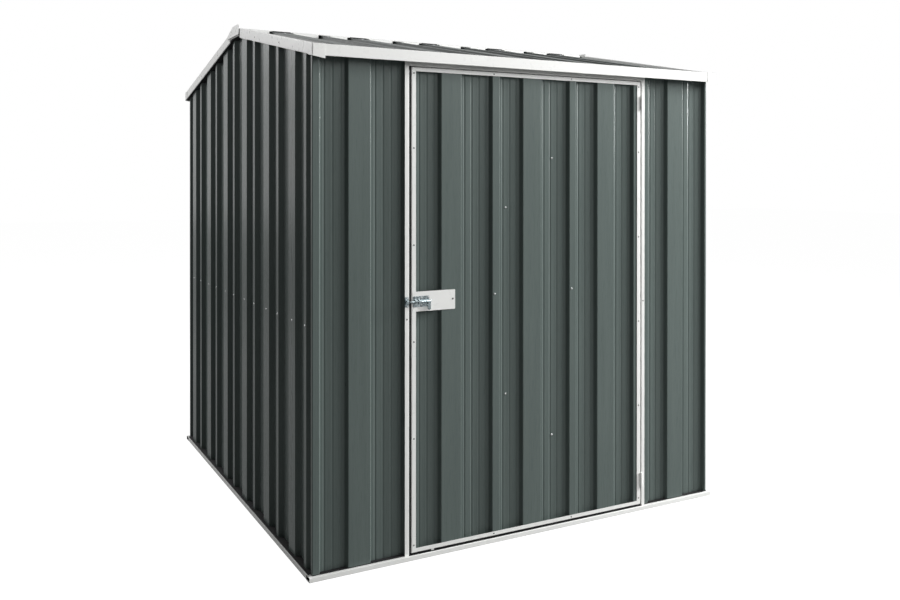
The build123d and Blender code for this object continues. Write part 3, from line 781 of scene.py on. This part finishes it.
# Painted shade: black blocks fill the ends of the wide ribs' hollows under the ridge cap, and
# stand a little out from its edge. They stand for the shadow in the gap between cap and rib.
rib_shade_in = 0.006
rib_shade_out = 0.0022
rib_shade_rise = 0.0012
rib_shade_drop = 0.0065
rib_shade_play = 0.001
rib_shade_chamfer = 0.0008
rib_shade_blocks = bmesh.new()
for start, end in roof_ribs[1:-1]:
    if end - start > narrow_rib + sheet_seat:
        for side in (-1, 1):
            ends = spread(side, cap_y - rib_shade_in, cap_y + rib_shade_out)
            block(
                rib_shade_blocks,
                (start - half_width + rib_shade_play, ends[0], cap_edge + rib_shade_rise - rib_shade_drop),
                (end - half_width - rib_shade_play, ends[1], cap_edge + rib_shade_rise),
                rib_shade_chamfer,
            )
piece("rib_shade_blocks", rib_shade_blocks, shade_foam, "shed", [])

# Fascias: folded off-white strips close the lower ends of the roof sheets, front and back. The
# top lip lies on the ribs and a small bottom lip stiffens the lower edge.
fascia_height = 0.039
fascia_top_lip = 0.018
fascia_bottom_lip = 0.0035
fascia_face = half_depth + eave_overhang
for side, name in ((-1, "fascia_front"), (1, "fascia_back")):
    box_low, box_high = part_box(name)
    fascia_top = box_low.z + fascia_height
    fascia_line = [
        (-fascia_face + fascia_top_lip, fascia_top + fascia_top_lip * tan(roof_pitch)),
        (-fascia_face, fascia_top),
        (-fascia_face, box_low.z),
        (-fascia_face + fascia_bottom_lip, box_low.z),
    ]
    fascia = bmesh.new()
    fold(fascia, bent(fascia_line), trim_t, level_x(-side), box_low.x, box_high.x)
    piece(name, fascia, pale_paint, "shed", [name])

# Barges: the same kind of folded strip covers the roof sheets' side edges, one on each slope at
# both gables, with a small lip at its foot. Over the narrower last rib the top lip reaches past
# the rib and turns down into the pan.
barge_height = 0.039
barge_top_lip = 0.020
trim_rise = cap_lift + 2 * trim_t + sheet_seat
barge_face = half_width + gable_overhang
barge_start = half_depth + eave_overhang - trim_t
barge_bottom_lip = 0.0035
barge_joint = 0.088
far_lip = 0.0315
far_lip_drop = 0.016
barge_profile = [
    (-barge_face + barge_top_lip, trim_rise),
    (-barge_face, trim_rise),
    (-barge_face, trim_rise - barge_height),
    (-barge_face + barge_bottom_lip, trim_rise - barge_height),
]
far_profile = [
    (-barge_face + far_lip, trim_rise - far_lip_drop),
    (-barge_face + far_lip, trim_rise),
] + barge_profile[1:]


def above_slope(side_x, side_y):
    """Place in an upright cut across a slope, a way above the ribs, at a distance y from the
    ridge. The section is drawn for the left gable, where side_x is -1.
    """
    return lambda point, y: (
        -side_x * point.x,
        side_y * y,
        crest_height(y) + point.y / cos(roof_pitch),
    )


for side_y, name in ((-1, "barges_front"), (1, "barges_back")):
    barges = bmesh.new()
    for side_x, profile in ((-1, barge_profile), (1, far_profile)):
        line = bent(profile)
        fold(barges, line, trim_t, above_slope(side_x, side_y), barge_start, barge_joint)
    piece(name, barges, pale_paint, "shed", [name])

# Painted shade under the barges: black strips fill the space between the barges and the walls,
# and run on behind the apex plates. They stand for the shadow in that space.
gable_shade_t = 0.003
gable_shade_height = 0.012
gable_shade_sunk = 0.0012
gable_shade_start = barge_start - 0.002
gable_shade_base = trim_rise - barge_height + gable_shade_sunk
gable_shade_profile = [
    (-barge_face + trim_t + sheet_seat, gable_shade_base + gable_shade_height),
    (-barge_face + trim_t + sheet_seat, gable_shade_base),
    (-half_width + rib_depth, gable_shade_base),
]
gable_shade_strips = bmesh.new()
for side_x in (-1, 1):
    for side_y in (-1, 1):
        line = bent(gable_shade_profile)
        fold(gable_shade_strips, line, gable_shade_t, above_slope(side_x, side_y), gable_shade_start, 0)
piece("gable_shade_strips", gable_shade_strips, shade_foam, "shed", [])

# Apex plates: a pressed off-white plate covers the space between the barges' upper ends on each
# gable. It stands a little proud of them, and its foot has a small lip turned in.
apex_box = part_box("apex_plates")
apex_front = 0.076
apex_back = 0.122
apex_base = apex_box[0].z
apex_foot_end = apex_back - 0.012
apex_notch = 0.008
apex_slant = 0.020
apex_slant_drop = 0.002
near_top_drop = 0.0025
far_top_drop = 0.010
near_flat = 0.036
far_flat = 0.024
apex_foot_hold = 0.006
plate_radius = 0.003
plate_chamfer = 0.0003
apex_shade_sunk = 0.0004
apex_shade_depth = 0.005
apex_shade_rise = 0.002


def apex_outline(top, flat):
    """Outline of an apex plate: level foot, and a top that is flat and then follows the barge."""
    return [
        (-apex_front, apex_base),
        (apex_foot_end, apex_base),
        (apex_back, crest_height(apex_back) - apex_notch),
        (apex_back, crest_height(apex_back) + trim_rise / cos(roof_pitch)),
        (flat, top),
        (-flat - apex_slant, top),
        (-apex_front, top - apex_slant_drop),
    ]


def slab(shape, outline, thickness, place, radius=plate_radius, chamfer=plate_chamfer):
    """Add a flat plate with rounded corners and softened edges. place turns (u, v, w) into 3-D."""
    corners = outline[-1:] + outline + outline[:1]
    line = bent(corners, radius)[1:-1]
    front = [shape.verts.new(place(point.x, point.y, 0)) for point in line]
    back = [shape.verts.new(place(point.x, point.y, thickness)) for point in line]
    faces = [shape.faces.new(front), shape.faces.new(back[::-1])]
    for here in range(len(line)):
        after = (here + 1) % len(line)
        faces.append(shape.faces.new((front[here], back[here], back[after], front[after])))
    rims = {edge for face in faces[:2] for edge in face.edges}
    bmesh.ops.bevel(shape, geom=list(rims), offset=chamfer, segments=1, profile=0.5, affect="EDGES")


plates = bmesh.new()
for side, drop, flat in ((-1, near_top_drop, near_flat), (1, far_top_drop, far_flat)):
    slab(
        plates,
        apex_outline(apex_box[1].z - drop, flat),
        trim_t,
        lambda u, v, w: (side * (barge_face + w), u, v),
    )
    foot_line = [
        (barge_face + trim_t, apex_base + apex_foot_hold),
        (barge_face + trim_t, apex_base),
        (barge_face - barge_bottom_lip, apex_base),
    ]
    fold(plates, bent(foot_line), -trim_t, level_y(side), -apex_front, apex_foot_end)
piece("apex_plates", plates, pale_paint, "shed", ["apex_plates"])

# Painted shade at the apex: a black strip fills the gap between each apex plate and the end
# of the front barge beside it, for the shadow in that gap.
apex_shade_mesh = bmesh.new()
apex_shade_face = barge_face + trim_t - apex_shade_sunk
for side in (-1, 1):
    ends = spread(side, apex_shade_face, apex_shade_face - apex_shade_depth)
    block(
        apex_shade_mesh,
        (ends[0], -barge_joint, apex_base + apex_shade_rise),
        (ends[1], -apex_front, crest_height(barge_joint) + trim_rise),
        plate_chamfer,
    )
piece("apex_shade_strips", apex_shade_mesh, shade_foam, "shed", [])

# Corner caps: a folded off-white corner is riveted over each meeting of fascia and barge. Its
# foot is cut to the barge's slope at the side and drops a little below the fascia in front.
cap_leg = 0.045
cap_fold_rise = 0.011
cap_front_rise = 0.0035
cap_side_rise = 0.019
cap_fold_radius = 0.003
corner_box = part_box("corner_caps")
outer_x = corner_box[1].x
outer_y = corner_box[1].y
corner_line = [(outer_x - cap_leg, outer_y), (outer_x, outer_y), (outer_x, outer_y - cap_leg)]


def cap_foot(point):
    """Height of a corner cap's lower edge: it drops along the fascia and follows the barge."""
    along_front = (outer_x - point.x) / cap_leg
    along_side = (outer_y - point.y) / cap_leg
    rise = cap_fold_rise
    rise += along_front * (cap_front_rise - cap_fold_rise)
    rise += along_side * (cap_side_rise - cap_fold_rise)
    return corner_box[0].z + rise
def cap_head(point):
    """Height of a corner cap's upper edge, which is level."""
    return corner_box[1].z


caps = bmesh.new()
for side_x in (-1, 1):
    for side_y in (-1, 1):
        fold(
            caps,
            bent(corner_line, cap_fold_radius),
            -trim_t,
            lambda point, height: (side_x * point.x, side_y * point.y, height(point)),
            cap_foot,
            cap_head,
        )
piece("corner_caps", caps, pale_paint, "shed", ["corner_caps"])

# Door frame: two stiles and two rails of off-white rolled channel wrap the edges of the door's
# sheets, and rivets join them at the corners.
stile_face = 0.016
door_rail_face = 0.014
latch_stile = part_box("door_stile_latch")
hinge_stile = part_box("door_stile_hinge")
door_left = latch_stile[0].x + half_width
door_right = hinge_stile[1].x + half_width
door_base = latch_stile[0].z
door_top = latch_stile[1].z
face_y = -half_depth - rail_t
upright_channel("door_stile_latch", door_left, 1, stile_face, "door", door_base, door_top)
upright_channel("door_stile_hinge", door_right, -1, stile_face, "door", door_base, door_top)
door_rails = bmesh.new()
rail_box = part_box("door_rails")
for web_z, open_to in ((door_base, 1), (door_top, -1)):
    level_channel(door_rails, rail_box[0].x, rail_box[1].x, web_z, open_to, door_rail_face)
piece("door_rails", door_rails, pale_paint, "door", ["door_rails"])

# Door sheets: two ribbed sheets, rolled like the walls', fill the door's frame and lap on a
# narrow rib.
door_first_rib = 0.475
door_pitch = 0.3395
door_ribs = rib_spans(door_first_rib, door_pitch, 3)
door_ribs[0] = (door_left, door_ribs[0][1])
door_ribs.append((door_right - 2 * stile_face, door_right))
door_split = lap(door_first_rib, door_pitch, 2)
door_boxes = (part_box("door_sheet_1"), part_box("door_sheet_2"))
door_ends = (door_boxes[0][0].x + half_width, door_split, door_boxes[1][1].x + half_width)
for number, box in enumerate(door_boxes):
    line = bent(sheet_face(door_ribs, door_ends[number], door_ends[number + 1]), sheet_radius)
    upright_sheet(f"door_sheet_{number + 1}", line, -1, "door", box[0].z, box[1].z)

# Painted shade at the door: a black strip fills most of the gap beside the latch stile, fixed to
# the jamb, and a thin one lies on the threshold. Another hangs under the door with a white nylon
# glide near its latch end. The black strips stand for the shadow in these gaps.
shade_rubber_colour = (0.010, 0.010, 0.011)
shade_rubber_tone = (0.016, 0.016, 0.017)
shade_rubber = painted_steel(
    "shade_rubber", shade_rubber_tone, shade_rubber_colour, roughness=0.7, peel=0.4, gloss_level=0.2
)
shade_rubber_chamfer = 0.0008
shade_strip_front = -half_depth + 0.0004
shade_strip_back = -half_depth + 0.012
shade_strip_clear = 0.0016
strip_t = 0.0011
strip_out = 0.007
strip_chamfer = 0.0003
jamb_shade_strips = bmesh.new()
block(
    jamb_shade_strips,
    (opening_left - half_width, shade_strip_front, base_height),
    (door_left - half_width - shade_strip_clear, shade_strip_back, header_box[0].z),
    shade_rubber_chamfer,
)
block(
    jamb_shade_strips,
    (opening_left - half_width, shade_strip_front - strip_out, base_height),
    (opening_right - half_width, shade_strip_back, base_height + strip_t),
    strip_chamfer,
)
piece("jamb_shade_strips", jamb_shade_strips, shade_rubber, "shed", [])
door_foot_shade = bmesh.new()
block(
    door_foot_shade,
    (door_left - half_width, shade_strip_front, base_height + shade_strip_clear),
    (door_right - half_width, shade_strip_back, door_base),
    shade_rubber_chamfer,
)
piece("door_foot_shade", door_foot_shade, shade_rubber, "door", [])
glide_x = 0.440 - half_width
glide_half = 0.006
glide_chamfer = 0.0006
glide = bmesh.new()
block(
    glide,
    (glide_x - glide_half, face_y, base_height + shade_strip_clear),
    (glide_x + glide_half, shade_strip_front, door_base),
    glide_chamfer,
)
piece("door_glide", glide, pale_paint, "door", [])

# Hinges: two pressed steel butt hinges, painted off-white, lie on the faces of the jamb and the
# hinge stile. Each has three rolled knuckles on one pin.
hinge_length = 0.060
knuckle_radius = 0.0045
knuckle_gap = 0.0005
knuckle_chamfer = 0.0004
knuckle_root = 0.001
hinge_leaf_width = 0.013
hinge_leaf_t = 0.0015
hinge_corner = 0.002
pin_radius = 0.0025
pin_inset = 0.001
round_sides = 24
pin_sides = 20
hinge_paint = painted_steel("hinge_paint", pale_shade, pale_colour, roughness=0.4, peel=0.2)
hinge_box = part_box("hinge_leaves_jamb")
hinge_x = (opening_right + door_right) / 2 - half_width
hinge_y = face_y - knuckle_radius
hinge_levels = (hinge_box[0].z + hinge_length / 2, hinge_box[1].z - hinge_length / 2)
knuckle = hinge_length / 3


def turned(shape, profile, place, sides):
    """Add a turned part. The profile's points are (radius, height), and place turns them to 3-D."""
    rings = []
    for radius, height in profile:
        ring = []
        for number in range(sides):
            angle = 2 * pi * number / sides
            ring.append(shape.verts.new(place(radius * cos(angle), radius * sin(angle), height)))
        rings.append(ring)
    for lower, upper in zip(rings, rings[1:]):
        for here in range(sides):
            after = (here + 1) % sides
            shape.faces.new((lower[here], lower[after], upper[after], upper[here]))
    shape.faces.new(rings[0][::-1])
    shape.faces.new(rings[-1])


def chamfered(radius, low, high, chamfer):
    """Profile of a round bar with softened ends."""
    return [
        (radius - chamfer, low),
        (radius, low + chamfer),
        (radius, low + 2 * chamfer),
        (radius, high - 2 * chamfer),
        (radius, high - chamfer),
        (radius - chamfer, high),
    ]

def rectangle(left, low, right, high):
    """Corners of a rectangle."""
    return [(left, low), (right, low), (right, high), (left, high)]


def in_hinge(u, v, w):
    """Place beside the hinges' axis, at a height w."""
    return (hinge_x + u, hinge_y + v, w)


leaf_start = knuckle_radius + knuckle_gap
leaf_end = knuckle_gap + hinge_leaf_width
for name, body, spans, side in (
    ("hinge_leaves_jamb", "shed", ((0, knuckle), (2 * knuckle, hinge_length)), 1),
    ("hinge_leaves_door", "door", ((knuckle + knuckle_gap, 2 * knuckle - knuckle_gap),), -1),
):
    leaves = bmesh.new()
    root_x = sorted((hinge_x, hinge_x + side * (leaf_start + knuckle_root)))
    for level in hinge_levels:
        base = level - hinge_length / 2
        slab(
            leaves,
            rectangle(leaf_start, base, leaf_end, base + hinge_length),
            hinge_leaf_t,
            lambda u, v, w: (hinge_x + side * u, face_y - w, v),
            hinge_corner,
        )
        for start, end in spans:
            low = base + start
            high = base + end
            profile = chamfered(knuckle_radius, low, high, knuckle_chamfer)
            turned(leaves, profile, in_hinge, round_sides)
            block(
                leaves,
                (root_x[0], face_y - hinge_leaf_t, low),
                (root_x[1], face_y, high),
                plate_chamfer,
            )
        if side > 0:
            ends = (base + pin_inset, base + hinge_length - pin_inset)
            turned(leaves, [(pin_radius, end) for end in ends], in_hinge, pin_sides)
    piece(name, leaves, hinge_paint, body, [name])

# Latch plate: a stiff off-white plate reaches from the latch stile over the first pan and rib. It
# is riveted at its right end and carries the bolt at its left end.
plate_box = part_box("latch_plate")
latch_level = (plate_box[0].z + plate_box[1].z) / 2
plate_t = plate_box[1].y - plate_box[0].y
latch_plate_chamfer = 0.0004


def on_front(u, v, w):
    """Place on the outer face of the door's frame, w in front of it."""
    return (u, face_y - w, v)


latch_plate = bmesh.new()
plate_outline = rectangle(plate_box[0].x, plate_box[0].z, plate_box[1].x, plate_box[1].z)
slab(latch_plate, plate_outline, plate_t, on_front, chamfer=latch_plate_chamfer)
piece("latch_plate", latch_plate, pale_paint, "door", ["latch_plate"])

# Bolt guides: a small base plate carries two pressed straps that the bolt slides in. Base, straps
# and screws are of zinc plated steel.
bolt_base_t = 0.0015
bolt_radius = 0.0045
bolt_play = 0.00008
strap_t = 0.0014
strap_width = 0.008
strap_foot = 0.0065
strap_play = 0.0007
strap_radius = 0.0032
guide_corner = 0.004
guide_starts = (0.004, 0.018)
bolt_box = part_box("bolt")
bolt_y = bolt_box[0].y + bolt_radius
guides_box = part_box("bolt_guides")
zinc_plate_dark = (0.10, 0.13, 0.14)
zinc_plate_light = (0.50, 0.57, 0.59)


def plated_steel(name, dark, light, roughness):
    """Bright zinc plating: metal with a faint cloud in its colour and fine brushing."""
    finish, tree, shader = new_finish(name)
    shader.inputs["Metallic"].default_value = 1.0
    cloud = mixed(tree, between(tree, noise(tree, 160, 5), 0, 1), dark, light)
    tree.links.new(cloud, shader.inputs["Base Color"])
    gloss = between(tree, noise(tree, 420, 4), roughness - 0.06, roughness + 0.08)
    tree.links.new(gloss, shader.inputs["Roughness"])
    grain = linked(
        tree, "ShaderNodeBump", Strength=0.2, Distance=0.0001, Height=noise(tree, 900, 3)
    )
    tree.links.new(grain.outputs["Normal"], shader.inputs["Normal"])
    return finish


zinc_plating = plated_steel("zinc_plating", zinc_plate_dark, zinc_plate_light, 0.26)


def strap(shape, start, foot_y, top_y):
    """Add a pressed strap over the bolt, from foot to foot."""
    inner = bolt_radius + strap_play
    outer = inner + strap_t
    line = [
        (latch_level - outer - strap_foot, foot_y - strap_t),
        (latch_level - outer, foot_y - strap_t),
        (latch_level - inner - strap_t, top_y),
        (latch_level + inner + strap_t, top_y),
        (latch_level + outer, foot_y - strap_t),
        (latch_level + outer + strap_foot, foot_y - strap_t),
    ]
    fold(
        shape,
        bent(line, strap_radius),
        strap_t,
        lambda point, x: (x, point.y, point.x),
        start,
        start + strap_width,
    )


guides = bmesh.new()
guides_left = guides_box[0].x
guides_face = face_y - plate_t - bolt_base_t
slab(
    guides,
    rectangle(guides_left, guides_box[0].z, guides_box[1].x, guides_box[1].z),
    bolt_base_t,
    lambda u, v, w: (u, face_y - plate_t - w, v),
    guide_corner,
)
for start in guide_starts:
    strap(guides, guides_left + start, guides_face, bolt_y - bolt_radius - bolt_play - strap_t)
piece("bolt_guides", guides, zinc_plating, "door", ["bolt_guides"])

# Bolt: a round zinc plated bar with a tapered tip. A flat lug is welded on near its tail for the
# hand, and its eye takes a padlock.
lug_width = 0.011
lug_drop = 0.026
lug_t = 0.004
lug_steps = 9
lug_corner = 0.0005
lug_chamfer = 0.0006
bolt_sides = 28
bolt_tip = ((0.0018, 0.0), (0.0012, 0.0006), (0.0, 0.004), (0.0, 0.0045))
bolt_tail = ((0.0, 0.0012), (0.0008, 0.0))
bar_profile = [(bolt_radius - cut, bolt_box[0].x + along) for cut, along in bolt_tip]
bar_profile += [(bolt_radius - cut, bolt_box[1].x - along) for cut, along in bolt_tail]
bolt = bmesh.new()
turned(bolt, bar_profile, lambda u, v, w: (w, bolt_y + u, latch_level + v), bolt_sides)
lug_x = bolt_box[1].x - lug_width / 2
lug_low = latch_level - lug_drop
lug_outline = [(lug_x - lug_width / 2, latch_level), (lug_x - lug_width / 2, lug_low)]
for step in range(1, lug_steps):
    angle = pi + pi * step / lug_steps
    lug_outline.append((lug_x + lug_width / 2 * cos(angle), lug_low + lug_width / 2 * sin(angle)))
lug_outline += [(lug_x + lug_width / 2, lug_low), (lug_x + lug_width / 2, latch_level)]
slab(
    bolt,
    lug_outline,
    lug_t,
    lambda u, v, w: (u, bolt_y + lug_t / 2 - w, v),
    lug_corner,
    lug_chamfer,
)
piece("bolt", bolt, zinc_plating, "bolt", ["bolt"])

# Keeper: a narrow base plate with one strap, on the face of the latch jamb, takes the bolt's tip.
# It is of the same zinc plated steel as the guides.
keeper_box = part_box("bolt_keeper")
keeper_width = 0.014
keeper_play = 0.0008
keeper_strap_in = 0.003
keeper_left = keeper_box[1].x - keeper_width
keeper_outline = rectangle(keeper_left, keeper_box[0].z, keeper_box[1].x, keeper_box[1].z)
keeper = bmesh.new()
slab(keeper, keeper_outline, bolt_base_t, on_front)
strap(
    keeper,
    keeper_left + keeper_strap_in,
    face_y - bolt_base_t,
    bolt_y - bolt_radius - keeper_play - strap_t,
)
piece("bolt_keeper", keeper, zinc_plating, "shed", ["bolt_keeper"])

# Screws and rivets: zinc plated pan-head screws go through the sheets into the frame, and blind
# rivets with a hollow middle join the trims.
screw_radius = 0.0042
small_screw_radius = 0.0030
hinge_screw_radius = 0.0024
rivet_radius = 0.0034
head_sides = 24
head_profile = ((1.0, 0.0), (1.0, 0.10), (0.96, 0.24), (0.84, 0.42), (0.66, 0.52), (0.56, 0.55))
recess_heights = (0.56, 0.18)
cross_arm = 0.50
cross_half_arm = 0.14
rivet_hole = 0.34
forwards = (0, -1, 0)
screw_steel = plated_steel("screw_steel", (0.30, 0.31, 0.31), (0.50, 0.51, 0.51), 0.38)
rivet_steel = plated_steel("rivet_steel", (0.04, 0.042, 0.042), (0.12, 0.122, 0.122), 0.5)


def cross_reach(angle):
    """Distance from a screw's middle to its cross recess's edge, as a share of its radius."""
    nearest = min(angle % (pi / 2), pi / 2 - angle % (pi / 2))
    if tan(nearest) <= cross_half_arm / cross_arm:
        return min(cross_arm / cos(nearest), cross_arm)
    return min(cross_half_arm / sin(nearest), cross_arm)


def fastener(shape, place, facing, radius, is_rivet):
    """Add a domed head, with a cross recess for a screw or a round hollow for a rivet."""
    turn = Vector(facing).to_track_quat("Z", "Y").to_matrix()
    origin = Vector(place)
    angles = [2 * pi * number / head_sides for number in range(head_sides)]
    rings = [[(share, height)] * head_sides for share, height in head_profile]
    for height in recess_heights:
        rings.append([(rivet_hole if is_rivet else cross_reach(angle), height) for angle in angles])
    verts = []
    for ring in rings:
        row = []
        for angle, (share, height) in zip(angles, ring):
            local = Vector((share * cos(angle), share * sin(angle), height)) * radius
            row.append(shape.verts.new(origin + turn @ local))
        verts.append(row)
    for lower, upper in zip(verts, verts[1:]):
        for here in range(head_sides):
            after = (here + 1) % head_sides
            shape.faces.new((lower[here], lower[after], upper[after], upper[here]))
    shape.faces.new(verts[0][::-1])
    shape.faces.new(verts[-1])


def screw(shape, place, facing=forwards, radius=screw_radius):
    """Add a pan-head screw."""
    fastener(shape, place, facing, radius, False)


def rivet(shape, place, facing=forwards):
    """Add a blind rivet."""
    fastener(shape, place, facing, rivet_radius, True)


def centres(ribs, first, last):
    """Middles of the ribs that lie wholly between two places."""
    return [(a + b) / 2 for a, b in ribs if a > first and b < last]


girt_level = 0.851
gable_screw_y = -0.033
gable_screw_level = 1.92
wall_screws = bmesh.new()
for along in centres(side_ribs, side_start, side_end):
    for side in (-1, 1):
        screw(wall_screws, (side * half_width, along - half_depth, girt_level), (side, 0, 0))
for along in centres(front_ribs, corner_rib, wall_width - far_corner_rib):
    screw(wall_screws, (along - half_width, half_depth, girt_level), (0, 1, 0))
for side in (-1, 1):
    place = (side * (half_width - rib_depth), gable_screw_y, gable_screw_level)
    screw(wall_screws, place, (side, 0, 0))
piece("wall_screws", wall_screws, screw_steel, "shed", [])

roof_screws = bmesh.new()
roof_screw_rows = (0.13, roof_end - 0.075)
for along in centres(roof_ribs, 0, wall_width):
    for down in roof_screw_rows:
        for side in (-1, 1):
            place = on_slope(side)(Vector((along, 0)), down)
            screw(roof_screws, place, (0, side * sin(roof_pitch), cos(roof_pitch)))
piece("roof_screws", roof_screws, screw_steel, "shed", [])

trim_rivets = bmesh.new()
barge_rivets = (0.0, 0.36, 0.71)
barge_rivet_drop = 0.023
barge_rivet_sunk = 0.0012
barge_rivet_x = barge_face - barge_rivet_sunk
for along in barge_rivets:
    y = half_depth - along
    level = crest_height(y) + trim_rise - barge_rivet_drop
    for side_x in (-1, 1):
        for side_y in (-1, 1):
            rivet(trim_rivets, (side_x * barge_rivet_x, side_y * y, level), (side_x, 0, 0))
jamb_rivet_level = 0.857
for along in (opening_left - jamb_face / 2, opening_right + jamb_face / 2):
    rivet(trim_rivets, (along - half_width, face_y, jamb_rivet_level))
piece("trim_rivets", trim_rivets, rivet_steel, "shed", [])

door_rivets = bmesh.new()
stile_rivet_levels = (0.050, 0.430, 0.775, 1.120, 1.466, 1.733)
for level in stile_rivet_levels:
    for along in (door_left + stile_face / 2, door_right - stile_face / 2):
        rivet(door_rivets, (along - half_width, face_y, level))
rail_rivets = (0.6886, 1.0306)
for along in rail_rivets:
    for level in (door_base + door_rail_face / 2, door_top - door_rail_face / 2):
        rivet(door_rivets, (along - half_width, face_y, level))
plate_rivet_in = 0.009
plate_rivet_rise = 0.002
rivet(
    door_rivets,
    (plate_box[1].x - plate_rivet_in, face_y - plate_t, latch_level + plate_rivet_rise),
)
piece("door_rivets", door_rivets, rivet_steel, "door", [])

door_screws = bmesh.new()
brace_screws = ((0.7476, 1.2486), (0.9516, 1.4376), (0.7476, 0.5431), (0.9516, 0.3607))
mid_rail_screws = ((0.6926, 0.9264), (1.0326, 0.9264))
for along, level in brace_screws + mid_rail_screws:
    on_rib = any(a <= along <= b for a, b in door_ribs)
    depth = 0 if on_rib else rib_depth
    screw(door_screws, (along - half_width, -half_depth + depth, level))
guide_screws = ((0.031, 0.013), (0.057, 0.013), (0.031, -0.013), (0.057, -0.013))
for along, rise in guide_screws:
    place = (guides_left + along, guides_face, latch_level + rise)
    screw(door_screws, place, radius=small_screw_radius)
piece("door_screws", door_screws, screw_steel, "door", [])

keeper_screws = bmesh.new()
keeper_screw_rises = (0.0145, -0.0145)
for rise in keeper_screw_rises:
    place = (keeper_box[1].x - keeper_width / 2, face_y - bolt_base_t, latch_level + rise)
    screw(keeper_screws, place, radius=small_screw_radius)
piece("keeper_screws", keeper_screws, screw_steel, "shed", [])

hinge_screws_jamb = bmesh.new()
hinge_screws_door = bmesh.new()
hinge_screw_rises = (-0.02, 0.0, 0.02)
hinge_screw_out = 0.0092
for level in hinge_levels:
    for rise in hinge_screw_rises:
        for screws, side in ((hinge_screws_jamb, 1), (hinge_screws_door, -1)):
            place = (hinge_x + side * hinge_screw_out, face_y - hinge_leaf_t, level + rise)
            screw(screws, place, radius=hinge_screw_radius)
piece("hinge_screws_jamb", hinge_screws_jamb, hinge_paint, "shed", [])
piece("hinge_screws_door", hinge_screws_door, hinge_paint, "door", [])
